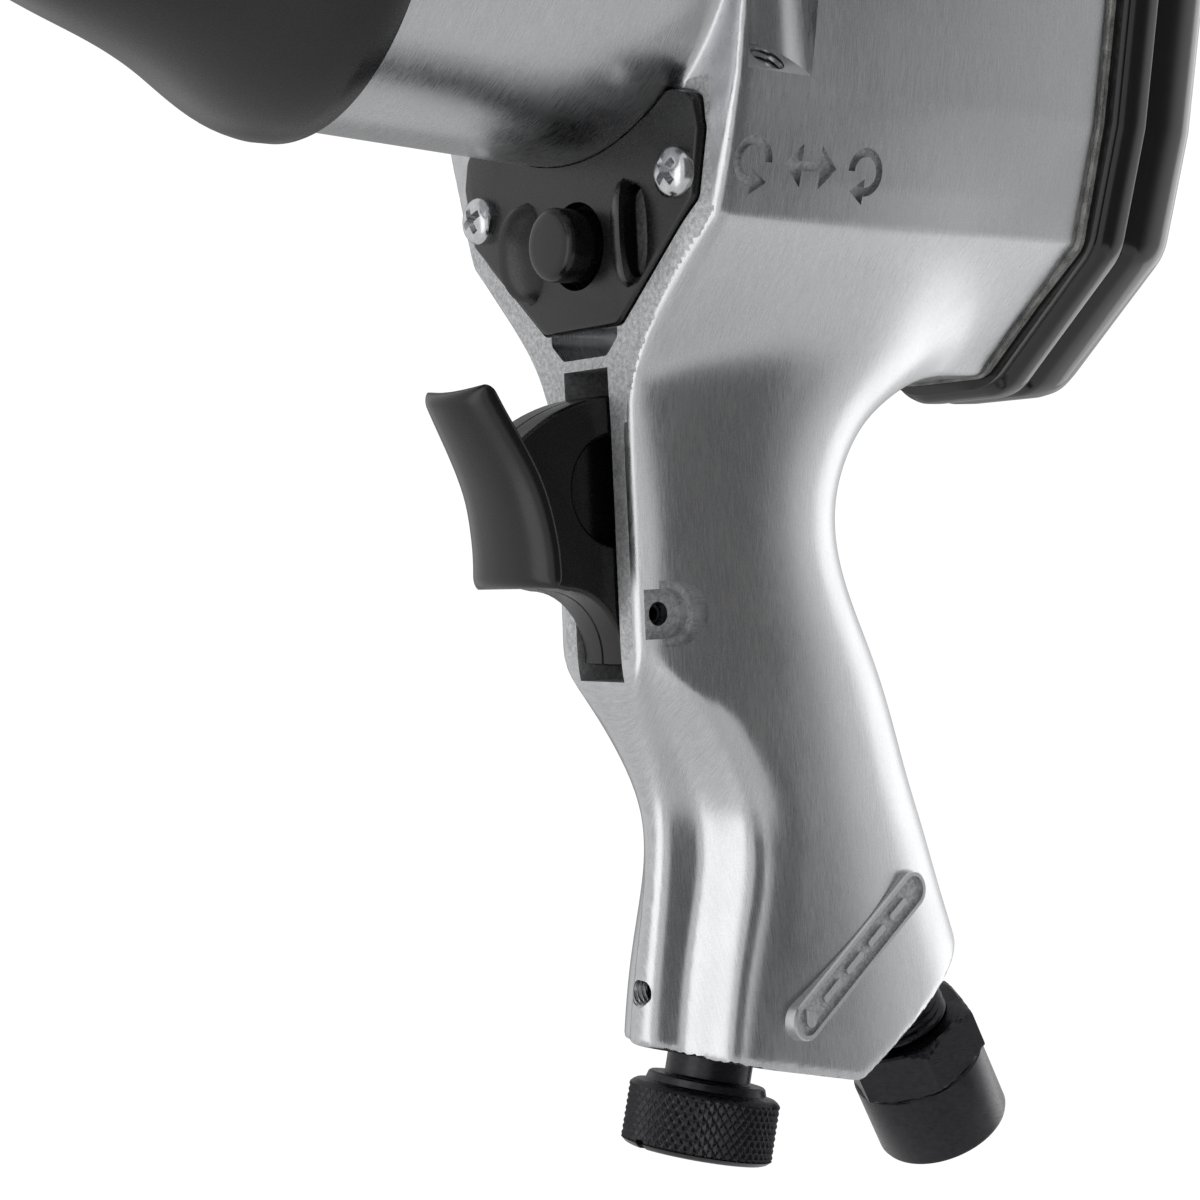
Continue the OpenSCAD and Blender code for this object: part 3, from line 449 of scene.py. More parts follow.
def casting_field(x, y, z):
    body = soft_min(box_field(x, y, z), barrel_field(x, y, z), 3.0)
    grip = soft_max(grip_field(x, y, z), foot_field(x, z), 1.6)
    grip = soft_max(grip, z + 40.0, 2.0)
    whole = soft_min(body, grip, 11.0)
    faced = soft_max(whole, np.where(z < -30, x - behind(FACE), -50.0), 1.1)
    return np.maximum(np.minimum(faced, barrel_field(x, y, z)), BOX_REAR - x)


# %% [markdown]
# ## Wrapping a mesh round the field
# Surface nets is the simplest way to mesh a field: one vertex in each grid
# cell that the surface crosses, one face across each grid edge that it
# crosses. Each vertex is then pulled onto the true surface, which makes the
# reflections as smooth as the formula.

# %% Surface nets
def surface_net(field, lowest, highest, cell):
    axes = [np.arange(a, b + cell, cell) for a, b in zip(lowest, highest)]
    counts = [len(a) for a in axes]
    values = np.empty(counts, np.float32)
    step = 24
    for i in range(0, counts[0], step):
        x = axes[0][i:i + step, None, None]
        values[i:i + step] = field(x, axes[1][None, :, None], axes[2][None, None, :])
    inside = values < 0
    cells = [c - 1 for c in counts]
    total, hits = np.zeros(cells + [3], np.float32), np.zeros(cells, np.uint8)
    quads = []
    for axis in range(3):
        other = [a for a in range(3) if a != axis]
        first = tuple(slice(0, -1) if a == axis else slice(None) for a in range(3))
        second = tuple(slice(1, None) if a == axis else slice(None) for a in range(3))
        cross = inside[first] != inside[second]
        where = np.argwhere(cross)
        a, b = values[first][cross], values[second][cross]
        point = where.astype(np.float32)
        point[:, axis] += a / (a - b)
        keep = np.all((where[:, other] > 0) & (where[:, other] < np.array(cells)[other]), axis=1)
        where, point, outward = where[keep], point[keep], inside[first][cross][keep]
        ring = []
        for du, dv in ((0, 0), (1, 0), (1, 1), (0, 1)):
            home = where.copy()
            home[:, other[0]] -= du
            home[:, other[1]] -= dv
            flat = np.ravel_multi_index(home.T, cells)
            for k in range(3):
                np.add.at(total.reshape(-1, 3)[:, k], flat, point[:, k])
            np.add.at(hits.reshape(-1), flat, 1)
            ring.append(flat)
        ring = np.stack(ring, axis=1)
        turn = ~outward if axis != 1 else outward
        quads.append(np.where(turn[:, None], ring[:, ::-1], ring))
    quads = np.concatenate(quads)
    used, faces = np.unique(quads, return_inverse=True)
    spots = total.reshape(-1, 3)[used] / hits.reshape(-1)[used, None]
    spots = spots * cell + np.array([a[0] for a in axes])
    return spots.astype(float), faces.reshape(-1, 4)


def pull_onto(field, spots, rounds=3, reach=0.5):
    """Moves each vertex along the field's slope until it lies on the surface."""
    nudge = 0.02
    for _ in range(rounds):
        x, y, z = spots.T
        value = field(x, y, z)
        slope = np.stack([field(x + nudge, y, z) - value, field(x, y + nudge, z) - value,
                          field(x, y, z + nudge) - value], axis=1) / nudge
        steep = np.maximum((slope ** 2).sum(axis=1), 0.2)
        move = -value[:, None] * slope / steep[:, None]
        length = np.maximum(np.linalg.norm(move, axis=1), 1e-9)
        spots = spots + move * np.minimum(1, reach / length)[:, None]
    return spots


def mesh_from(name, spots, faces):
    mesh = bpy.data.meshes.new(name)
    mesh.vertices.add(len(spots))
    mesh.vertices.foreach_set("co", (np.asarray(spots) / MM).ravel())
    width = faces.shape[1]
    mesh.loops.add(faces.size)
    mesh.loops.foreach_set("vertex_index", faces.ravel().astype(np.int32))
    mesh.polygons.add(len(faces))
    mesh.polygons.foreach_set("loop_start", np.arange(0, faces.size, width, dtype=np.int32))
    mesh.update(calc_edges=True)
    mesh.validate()
    piece = bpy.data.objects.new(name, mesh)
    bpy.context.scene.collection.objects.link(piece)
    return piece


NET_CELL = 0.8
net_low = [BOX_REAR - 3, -BOX_HALF - 2, -HANDLE_LOW - 4]
net_high = [NOSE_TIP + 3, BOX_HALF + 2, BOX_TOP + 3]
spots, faces = surface_net(casting_field, net_low, net_high, NET_CELL)
casting = mesh_from("casting", pull_onto(casting_field, spots), faces)
print("casting:", len(faces), "faces before machining")

# %% [markdown]
# ## Machining the casting
# What a drill or a milling cutter leaves is crisp, unlike the casting round
# it. So each hole, slot and seat is cut out with the shape of its tool. The
# tools are built a little longer than the metal, so that no cut ends exactly
# on a face.

# %% Cutting tools
def tube_faces(rings, around):
    """The faces of a tube of rings with the same number of points, closed at both ends."""
    faces = [(i * around + k, i * around + (k + 1) % around, (i + 1) * around + (k + 1) % around,
              (i + 1) * around + k) for i in range(rings - 1) for k in range(around)]
    last = (rings - 1) * around
    return faces + [tuple(range(around - 1, -1, -1)), tuple(range(last, last + around))]


def lofted(rings, place=None):
    """Joins outlines with the same number of points; each ring is (outline, level)."""
    place = place or Matrix.Identity(4)
    points = [place @ Vector((a, b, level)) for outline, level in rings for a, b in outline]
    return points, tube_faces(len(rings), len(rings[0][0]))


def prism(corners, low_end, high_end, place=None):
    """An outline of (a, b) points pushed along the third axis, as vertices and faces."""
    return lofted([(corners, low_end), (corners, high_end)], place)


def turned(profile, place, turn=96, rule=None):
    """A profile of (distance along the axis, radius) points, turned about the axis."""
    points = []
    for along, radius in profile:
        for k in range(turn):
            angle = 2 * math.pi * k / turn
            r = rule(angle, along, radius) if rule else radius
            points.append(place @ Vector((r * math.cos(angle), r * math.sin(angle), along)))
    return points, tube_faces(len(profile), turn)


def round_outline(radius, n=48):
    angles = [2 * math.pi * i / n for i in range(n)]
    return [(radius * math.cos(a), radius * math.sin(a)) for a in angles]


def facing(origin, along, up=(0, 0, 1)):
    """A frame whose third axis points along a direction."""
    w = Vector(along).normalized()
    u = Vector(up).cross(w)
    u = u.normalized() if u.length > 1e-6 else Vector((1, 0, 0))
    v = w.cross(u)
    return Matrix.Translation(Vector(origin)) @ Matrix((u, v, w)).transposed().to_4x4()


def tool(name, shape):
    points, faces = shape
    mesh = bpy.data.meshes.new(name)
    mesh.from_pydata([p / MM for p in points], [], faces)
    work = bmesh.new()
    work.from_mesh(mesh)
    bmesh.ops.recalc_face_normals(work, faces=work.faces)
    work.to_mesh(mesh)
    work.free()
    piece = bpy.data.objects.new(name, mesh)
    bpy.context.scene.collection.objects.link(piece)
    return piece


def drill(start, end, diameter, n=48):
    start, end = Vector(start), Vector(end)
    return prism(round_outline(diameter / 2, n), 0, (end - start).length, facing(start, end - start))


def block(lowest, highest):
    (x0, y0, z0), (x1, y1, z1) = lowest, highest
    return prism([(x0, y0), (x1, y0), (x1, y1), (x0, y1)], z0, z1)


# SIDEWAYS takes an outline of (y, z) along x, and UPRIGHT one of (x, z) along y.
SIDEWAYS = Matrix(((0, 0, 1, 0), (1, 0, 0, 0), (0, 1, 0, 0), (0, 0, 0, 1)))
UPRIGHT = Matrix(((1, 0, 0, 0), (0, 0, 1, 0), (0, 1, 0, 0), (0, 0, 0, 1)))


def machine(piece, shapes, operation="DIFFERENCE"):
    """Cuts or joins each shape in turn and keeps one clean mesh."""
    tools = [tool("tool_%02d" % i, s) if isinstance(s, tuple) else s for i, s in enumerate(shapes)]
    for cutter in tools:
        change = piece.modifiers.new(cutter.name, "BOOLEAN")
        change.operation, change.solver, change.object = operation, "MANIFOLD", cutter
    bpy.context.view_layer.update()
    result = bpy.data.meshes.new_from_object(piece.evaluated_get(bpy.context.evaluated_depsgraph_get()))
    piece.modifiers.clear()
    old, piece.data = piece.data, result
    bpy.data.meshes.remove(old)
    for cutter in tools:
        mesh = cutter.data
        bpy.data.objects.remove(cutter)
        bpy.data.meshes.remove(mesh)
    return piece


def shade(piece, crease_degrees=32):
    piece.data.polygons.foreach_set("use_smooth", [True] * len(piece.data.polygons))
    piece.data.set_sharp_from_angle(angle=math.radians(crease_degrees))


def rounded(corners, radius, steps=6):
    """The outline with each corner turned into an arc."""
    points = []
    for p, q, r in zip(corners[-1:] + corners[:-1], corners, corners[1:] + corners[:1]):
        q = Vector(q)
        u, v = (Vector(p) - q), (Vector(r) - q)
        room = 0.48 * min(u.length, v.length)
        u, v = u.normalized(), v.normalized()
        half = u.angle(v) / 2
        t = min(room, radius / math.tan(half))
        bend = t * math.tan(half)
        centre = q + (u + v).normalized() * bend / math.sin(half)
        a, b = q + u * t - centre, q + v * t - centre
        for k in range(steps + 1):
            arm = a.lerp(b, k / steps).normalized() * bend
            points.append(tuple(centre + arm))
    return points


# %% [markdown]
# ## What is cut into the housing
# From the front: the seat of the reverse plate with the exhaust room behind it,
# the slot for the trigger, a stepped spot-face on each side for the trigger's
# pin, the regulator's bore and its small set-screw hole. On the left side: a
# pocket with a sloping floor and a tapped hole for a hanger, and the marks for
# the direction of turning.

# %% Seats, slots and bores
PLATE_HALF = [(17, -33.6), (22.3, -30.6), (27.3, -32.2), (28.4, -37.2), (26.6, -46.6), (9.2, -62.4)]
PLATE_OUTLINE = PLATE_HALF[::-1] + [(-y, z) for y, z in PLATE_HALF]
SLOT_HALF, SLOT_TOP, SLOT_BOTTOM, SLOT_DEPTH = 5.3, -68.5, -114.5, 23
SLOT_BACK = behind(FACE) - SLOT_DEPTH
VALVE_Z = -50.0
PLATE_SCREW_Y, PLATE_SCREW_Z = 23.7, -42.8
SET_SCREW_Z = -163.8
PIN_SEAT = (4.9, 11.6)                      # radius, and distance of its floor from the middle
KNOB_DEPTH, INLET_DEPTH = 66.3, 104.6       # where their axes meet the foot, behind the datum
PIN_X, PIN_Z = TRIGGER_PIN[0], TRIGGER_PIN[2]
POCKET_X, POCKET_Y, POCKET_R, POCKET_TOP = BOX_FRONT - 7.5, BOX_HALF - 2, 6.25, 24
POCKET_FLOOR = (BOX_HALF - 3.5, -30.0)


def foot_frame(depth, tilt):
    """A frame on the foot whose third axis points out of it, square to its face."""
    x = behind(depth)
    z = -HANDLE_LOW + (x - EDGE_X) * math.tan(tilt)
    return facing((x, 0, z), (math.sin(tilt), 0, -math.cos(tilt)), (0, 1, 0))


KNOB_FRAME, INLET_FRAME = foot_frame(KNOB_DEPTH, KNOB_TILT), foot_frame(INLET_DEPTH, -INLET_TILT)


def pin_step(side, radius, floor):
    """A D-shaped seat, open at the front, whose floor lies at y = floor."""
    arc = [(PIN_X - 0.6 + radius * math.cos(a), PIN_Z + radius * math.sin(a))
           for a in [math.radians(90 + 180 * k / 20) for k in range(21)]]
    corners = arc + [(behind(44), PIN_Z - radius), (behind(44), PIN_Z + radius)]
    ends = sorted((side * floor, side * 26))
    return prism(corners, ends[0], ends[1], UPRIGHT)


def pocket_shape():
    """A round pocket whose floor slopes down as it goes out of the box."""
    wall = [(POCKET_X + a, POCKET_Y + b) for a, b in round_outline(POCKET_R, 40)]
    floor = [Vector((a, b, POCKET_FLOOR[1] + POCKET_FLOOR[0] - b)) for a, b in wall]
    roof = [Vector((a, b, POCKET_TOP)) for a, b in wall]
    return floor + roof, tube_faces(2, len(wall))


def threaded_bore(start, end, diameter, pitch=1.0, depth=0.35):
    """A tapped hole: the tool's wall carries one ridge for each turn of the thread."""
    start, end = Vector(start), Vector(end)
    rings = int((end - start).length / pitch) * 4

    def ridge(angle, along, radius):
        phase = (along / pitch + angle / (2 * math.pi)) % 1.0
        return radius + depth * (0.5 - abs(phase - 0.5)) * 2
    profile = [(i * pitch / 4, diameter / 2) for i in range(rings + 1)]
    return turned(profile, facing(start, end - start), 28, ridge)


# %% [markdown]
# ## Direction marks
# Marks on the side wall show which way the drive turns when the button is in
# or out: a double arrow between two turning arrows. They are sunk into the
# leaning wall, so they are drawn flat and placed by a frame of that wall. The
# second turning arrow is the first one flipped.

# %% Direction marks
MARK_TILT = math.atan2(5.4, 18.6)
MARK_MIDDLE = Vector((behind(64), BOX_HALF - 3.6 - 5.4 * 11 / 18.6, -42.0))
MARK_HIGH, MARK_LINE, MARK_DEPTH, MARK_APART = 7.0, 1.3, 0.45, 11


def on_side_wall(shift=0.0, flip=1):
    """The leaning side wall's own frame: first axis towards the back, second up."""
    out = Vector((0, math.cos(MARK_TILT), -math.sin(MARK_TILT)))
    back = Vector((-1, 0, 0))
    up = out.cross(back)
    turned = Matrix((flip * back, up, out)).transposed().to_4x4()
    return Matrix.Translation(MARK_MIDDLE + back * shift) @ turned


def turning_arrow():
    """Three quarters of a ring, as one outline, and the arrow's head."""
    outer, inner = MARK_HIGH / 2, MARK_HIGH / 2 - MARK_LINE
    angles = [math.radians(a) for a in range(0, 271, 10)]
    ring = [(outer * math.cos(a), outer * math.sin(a)) for a in angles]
    ring += [(inner * math.cos(a), inner * math.sin(a)) for a in reversed(angles)]
    middle = -(outer + inner) / 2
    head = [(-0.02, middle - 1.9), (2.9, middle), (-0.02, middle + 1.9)]
    return ring, head


def mark_shapes():
    bar = [(-2.0, -0.65), (2.0, -0.65), (2.0, 0.65), (-2.0, 0.65)]
    shapes = [prism(bar, -MARK_DEPTH, 3, on_side_wall())]
    for flip in (1, -1):
        head = [(5.0, 0), (1.8, 3.1), (1.8, -3.1)]
        shapes.append(prism(head, -MARK_DEPTH, 3, on_side_wall(0, flip)))
    ring, head = turning_arrow()
    for shift, flip in ((-MARK_APART, 1), (MARK_APART, -1)):
        shapes += [prism(part, -MARK_DEPTH, 3, on_side_wall(shift, flip)) for part in (ring, head)]
    return shapes


# %% [markdown]
# ## Oil badge
# A small raised panel low on the grip reminds the user to oil the tool. The
# pattern maker lets it into the mould, so it is part of the casting: a flat
# pad with a rim, a drop of oil and four plain bars inside it.

# %% Badge
BADGE_TOP, BADGE_RIM, BADGE_SINK, BADGE_R = 0.5, 0.6, 0.6, 2.85
BADGE_ENDS = ((70.5, -168.5), (96.5, -152.3))


def skin_point(x, z):
    """The place on the casting's left skin that lies at these two coordinates."""
    found = casting.ray_cast(Vector((x, 60, z)) / MM, Vector((0, -1, 0)))
    return found[1] * MM


def badge_frame():
    """The badge lies on the skin: its two directions run between points of it."""
    (d0, z0), (d1, z1) = BADGE_ENDS
    low, high = skin_point(behind(d0), z0), skin_point(behind(d1), z1)
    along = (high - low).normalized()
    across = Vector((0, 1, 0)).cross(along).normalized() * 2.8
    middle = skin_point((low.x + high.x) / 2, (low.z + high.z) / 2)
    upper, lower = middle + across, middle - across
    up = skin_point(upper.x, upper.z) - skin_point(lower.x, lower.z)
    out = along.cross(up).normalized()
    up = out.cross(along)
    turned_frame = Matrix((along, up, out)).transposed().to_4x4()
    print("badge: outward direction", [round(v, 3) for v in out], "at", [round(v, 1) for v in middle])
    return Matrix.Translation(middle) @ turned_frame


def stadium(half_long, radius, n=20):
    angles = [math.pi * (k / n - 0.5) for k in range(n + 1)]
    right = [(half_long + radius * math.cos(a), radius * math.sin(a)) for a in angles]
    return right + [(-a, -b) for a, b in right]


def make_badge():
    half_long = math.dist(*BADGE_ENDS) / 2
    place = badge_frame()
    skirt = ((0.75, -4), (0.25, BADGE_TOP - 0.25), (0.0, BADGE_TOP))
    rings = [(stadium(half_long, BADGE_R + grow), level) for grow, level in skirt]
    machine(casting, [lofted(rings, place)], "UNION")
    floor = stadium(half_long, BADGE_R - BADGE_RIM)
    machine(casting, [prism(floor, BADGE_TOP - BADGE_SINK, BADGE_TOP + 2, place)])
    root, top = BADGE_TOP - BADGE_SINK - 0.1, BADGE_TOP - 0.1
    angles = [math.radians(-210 + 240 * k / 16) for k in range(17)]
    drop = [(1.15 * math.cos(a), 1.15 * math.sin(a)) for a in angles] + [(0.0, 2.1)]
    shapes = [prism([(a - half_long + 0.6, b - 0.4) for a, b in drop], root, top, place)]
    for k in range(4):
        a = -half_long + 4.5 + k * 6.4
        bar = rounded([(a, -0.55), (a + 4.6, -0.55), (a + 4.6, 0.55), (a, 0.55)], 0.4)
        shapes.append(prism(bar, root, top, place))
    machine(casting, shapes, "UNION")
    return place


# %% [markdown]
# ## Cutting the housing
# All the tools are made first and then cut away in one pass. Where a cut face
# was cast, not machined, it is marked so that it gets the sandy finish. A face
# belongs to such a seat if its centre lies in the seat's place.

# %% Cut the housing
BARREL_ROOM = 75.3              # keeps the plate's seat off the barrel
VALVE_BORE, NOSE_BORE, HAMMER_BORE, MOTOR_BORE = 13, 33, 63, 62.1
KNOB_BORE, INLET_BORE, PIN_HOLE, PLATE_TAP = 13.8, 17.2, 3.6, 3.9


def slot_cuts():
    """The trigger's slot, a step at its foot and a small recess above it."""
    front, back = behind(40), behind(57)
    foot = [(front, SLOT_BOTTOM + 0.05), (back, SLOT_BOTTOM + 0.05), (back, SLOT_BOTTOM - 1.2),
            (front, SLOT_BOTTOM - 0.9)]
    recess = [(8, -61.5), (8, -64.2), (5.2, -66.8), (-5.2, -66.8), (-8, -64.2), (-8, -61.5)]
    return [block((SLOT_BACK, -SLOT_HALF, SLOT_BOTTOM), (front, SLOT_HALF, SLOT_TOP)),
            prism(foot, -SLOT_HALF, SLOT_HALF, UPRIGHT),
            prism(rounded(recess, 1.2), PLATE_BACK - 7, front, SIDEWAYS)]


def housing_cuts():
    seat = prism(rounded(inset(PLATE_OUTLINE, -0.35), 2.2), PLATE_BACK, PLATE_BACK + 14, SIDEWAYS)
    barrel = drill((PLATE_BACK - 2, 0, 0), (PLATE_BACK + 20, 0, 0), BARREL_ROOM, 128)
    cuts = [machine(tool("plate_seat", seat), [barrel])] + slot_cuts()
    cuts.append(block((PLATE_BACK - 13, -10.6, -57), (PLATE_BACK + 0.1, 10.6, -38.5)))
    cuts.append(drill((PLATE_BACK, 0, VALVE_Z), (BOX_REAR - 1, 0, VALVE_Z), VALVE_BORE))
    for side in (-1, 1):
        y, z = side * PLATE_SCREW_Y, PLATE_SCREW_Z
        cuts += [pin_step(side, *PIN_SEAT), pin_step(side, 3.7, 10.0)]
        cuts.append(drill((PLATE_BACK - 9, y, z), (PLATE_BACK + 8, y, z), PLATE_TAP))
    cuts.append(drill((PIN_X, -30, PIN_Z), (PIN_X, 30, PIN_Z), PIN_HOLE))
    cuts.append(pocket_shape())
    mouth = Vector((POCKET_X, POCKET_FLOOR[0] - 2.3, POCKET_FLOOR[1] + 2.3))
    out = Vector((0, 1, 1)).normalized()
    cuts.append(threaded_bore(mouth - 12 * out, mouth + 3 * out, 5.0))
    cuts.append(threaded_bore((behind(66), 0, SET_SCREW_Z), (behind(46), 0, SET_SCREW_Z), 4.0, 0.8, 0.3))
    cuts.append(prism(round_outline(KNOB_BORE / 2), -16, 6, KNOB_FRAME))
    cuts.append(prism(round_outline(INLET_BORE / 2), -15, 6, INLET_FRAME))
    cuts.append(drill((behind(2), 0, 0), (NOSE_TIP + 2, 0, 0), NOSE_BORE))
    cuts.append(drill((RING + 4, 0, 0), (behind(44), 0, 0), HAMMER_BORE, 96))
    cuts.append(drill((behind(43.9), 0, 0), (BOX_REAR - 1, 0, 0), MOTOR_BORE, 96))
    return cuts + mark_shapes()


def mark_cast_faces(badge_place):
    """The linisher never reaches the sunken faces, so they keep the skin of the casting."""
    count = len(casting.data.polygons)
    spots, normals = np.empty(count * 3), np.empty(count * 3)
    casting.data.polygons.foreach_get("center", spots)
    casting.data.polygons.foreach_get("normal", normals)
    (x, y, z), n = spots.reshape(-1, 3).T * MM, normals.reshape(-1, 3).T
    side = np.abs(y)
    front = (np.abs(x - behind(FACE)) < 0.25) & (n[0] > 0.8) & (z < -60) & (z > -118)
    slot = (side < SLOT_HALF + 0.02) & (x > SLOT_BACK - 0.05)
    slot &= (z < SLOT_TOP + 0.1) & (z > SLOT_BOTTOM - 1.3)
    seat = (np.hypot(x - PIN_X, z - PIN_Z) < PIN_SEAT[0] + 0.02) & (side < PIN_SEAT[1] + 0.05)
    seat &= (side > SLOT_HALF) & (n[1] * np.sign(y) > 0.9)
    room = (x < PLATE_BACK + 2) & (x > PLATE_BACK - 14) & (n[0] > 0.9)
    room &= (side < 29) & (z > -63) & (z < -30)
    out = Vector((0, math.cos(MARK_TILT), -math.sin(MARK_TILT)))
    height = (y - MARK_MIDDLE.y) * out.y + (z - MARK_MIDDLE.z) * out.z
    marks = (np.abs(height + MARK_DEPTH) < 0.02)
    marks &= (np.abs(x - MARK_MIDDLE.x) < 15.5) & (np.abs(z - MARK_MIDDLE.z) < 4.5)
    local = np.array(badge_place.inverted()) @ np.stack((x, y, z, np.ones(count)))
    badge = (np.abs(local[2] - BADGE_TOP + BADGE_SINK) < 0.01) & (np.abs(local[1]) < 2.3) & (z < -148)
    sandy = (front | slot | seat | room | marks | badge).astype(np.int32)
    casting.data.polygons.foreach_set("material_index", sandy)
    print("cast skin kept on", int(sandy.sum()), "of", count, "faces")


machine(casting, housing_cuts())
bpy.context.view_layer.update()
mark_cast_faces(make_badge())
shade(casting)
casting.name = casting.data.name = "housing_casting"
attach(casting, "housing")
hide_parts("housing")
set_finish(casting, "cast_aluminium")
print("housing:", len(casting.data.polygons), "faces after machining")

# %% [markdown]
# ## Turned pieces
# The boot, screws, button, pin, knob and inlet are all turned about an axis,
# from a profile of distances along it and radii. A piece that isn't quite
# round, such as a hexagon, a thread or a knurl, passes a rule that changes the
# radius with the angle. Each piece then hides the node it stands for, rides on
# its body and says which of the record's slots gives its finish.

# %% Standing for a node
def stand_for(piece, body, node, slot_name, crease=32):
    shade(piece, crease)
    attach(piece, body)
    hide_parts(node)
    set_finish(piece, slot_name)
    print(piece.name + ":", len(piece.data.polygons), "faces")
    return piece


DRIVE = facing((0, 0, 0), (1, 0, 0))

# %% [markdown]
# ## Nose boot
# A rubber boot is pulled over the nose cone, to save the casting from knocks.
# It has a plain band at its rear and sweeps down to the drive in a hollow curve.

# %% Nose boot
BOOT_LEN = high("nose_boot")[0] - RING
boot_outer = curve_through([3.4, 5.5, 9.7, 15.7, 21.5, 27, 32.8, BOOT_LEN],
                           [37.95, 37.5, 35.7, 32.1, 29.1, 26.9, 24.9, 22.2])


def make_boot():
    outer = [(0, 36), (0, 37.5), (0.15, 37.85), (0.5, 38), (3.0, 38)]
    outer += [(s, float(boot_outer(s))) for s in np.linspace(3.4, BOOT_LEN - 0.8, 40)]
    outer += [(BOOT_LEN - 0.2, 21.6), (BOOT_LEN, 21.0)]
    boot = tool("rubber_boot", turned([(RING + a, r) for a, r in outer], DRIVE, 160))
    inner = [(RING - 1, 34.85), (RING + 3.5, 34.7)]
    inner += [(RING + s, float(nose_radius(s)) + 0.02) for s in np.linspace(4, BOOT_LEN, 20)]
    inner.append((RING + BOOT_LEN + 1, 19.15))
    machine(boot, [turned(inner, DRIVE, 160)])
    return stand_for(boot, "housing", "nose_boot", "black_rubber", 40)


boot = make_boot()

# %% [markdown]
# ## Rear cover
# The cover closes the motor. Its wall carries rounded bands, which stiffen it
# and give the hand something to feel. The bands follow the box's outline, so
# the cover is lofted from that outline, let out and in again as it goes back.

# %% Rear cover
# Each band is (depth behind the cover's front, how far it stands out of the box's outline).
COVER_BANDS = [(0, 2.0), (1.6, 2.0), (2.0, 2.5), (2.6, 3.2), (3.6, 3.5), (6.4, 3.5), (7.2, 3.2),
               (7.8, 2.3), (8.4, 2.0), (9.0, 2.3), (9.7, 3.1), (10.8, 3.5), (15.6, 3.45), (18.0, 3.0),
               (20.2, 1.8), (22.0, 0.2), (23.6, -1.8), (24.8, -4.2), (25.6, -6.6), (26.0, -9.0)]
COVER_ROUND, COVER_SPIGOT, COVER_HOLLOW, SCREW_HOLE, SCREW_SEAT = 9.0, 61.8, 53, 5.4, 11.6
SCREW_SPOTS = [(BOX_HALF - 10, 30), (-BOX_HALF + 10, 30), (BOX_HALF - 13, -42), (-BOX_HALF + 13, -42)]


def make_cover():
    share = (COVER_FRONT - COVER_REAR) / COVER_BANDS[-1][0]
    rings = [(rounded(inset(BOX_OUTLINE, -grow), COVER_ROUND, 8), COVER_FRONT - depth * share)
             for depth, grow in COVER_BANDS]
    cover = tool("end_cover", lofted(rings, SIDEWAYS))
    spigot = drill((COVER_FRONT - 0.5, 0, 0), (COVER_FRONT + 5, 0, 0), COVER_SPIGOT, 96)
    machine(cover, [spigot], "UNION")
    cuts = [drill((COVER_FRONT + 8, 0, 0), (COVER_REAR + 6, 0, 0), COVER_HOLLOW, 96)]
    for y, z in SCREW_SPOTS:
        cuts.append(drill((COVER_FRONT + 1, y, z), (COVER_REAR - 1, y, z), SCREW_HOLE))
        cuts.append(drill((COVER_REAR + 7.5, y, z), (COVER_REAR - 1, y, z), SCREW_SEAT))
    machine(cover, cuts)
    return stand_for(cover, "housing", "rear_cover", "cover_plastic", 38)


cover = make_cover()

# %% [markdown]
# ## Reverse plate
# A pressed plate covers the exhaust room. Two hoods are pushed out of it, open
# on their outer sides, so that spent air blows sideways. A hood is a quarter of
# a dome: its inside is cut out with a smaller copy of the same dome.

# %% Reverse plate
HOOD_INNER, HOOD_LIP, HOOD_HALF, HOOD_HIGH, HOOD_Z = 8.6, 14.8, 7.9, 3.7, -49.6


def dome(side, inner, lip, half, tall, base, run_on=0.0):
    """A quarter dome that rises from its inner edge to its lip."""
    rows, across = 22, 14
    foot = -2.3 if run_on else -0.3
    points, faces = [], []
    for level in (0, 1):
        for j in range(rows + 1):
            t = -1 + 2 * j / rows
            end = math.sqrt(max(1 - abs(t) ** 2.6, 0.0))
            for i in range(across + 1):
                s = i / across
                y = inner + (lip - inner) * (0.5 + (s - 0.5) * max(end, 0.06)) + run_on * (i == across)
                rise = tall * math.sin(s * math.pi / 2) ** 0.9 * max(end, 0.03) ** 1.2
                x = base + (rise if level else foot)
                points.append(Vector((x, side * y, HOOD_Z + t * half)))
    wide, size = across + 1, (rows + 1) * (across + 1)
    for j in range(rows):
        for i in range(across):
            a = j * wide + i
            b = size + a
            faces += [(a, a + 1, a + wide + 1, a + wide), (b, b + wide, b + wide + 1, b + 1)]
    rim = list(range(wide)) + [j * wide + across for j in range(1, rows + 1)]
    rim += [rows * wide + i for i in range(across - 1, -1, -1)] + [j * wide for j in range(rows - 1, 0, -1)]
    for a, b in zip(rim, rim[1:] + rim[:1]):
        faces.append((a, size + a, size + b, b))
    return points, faces


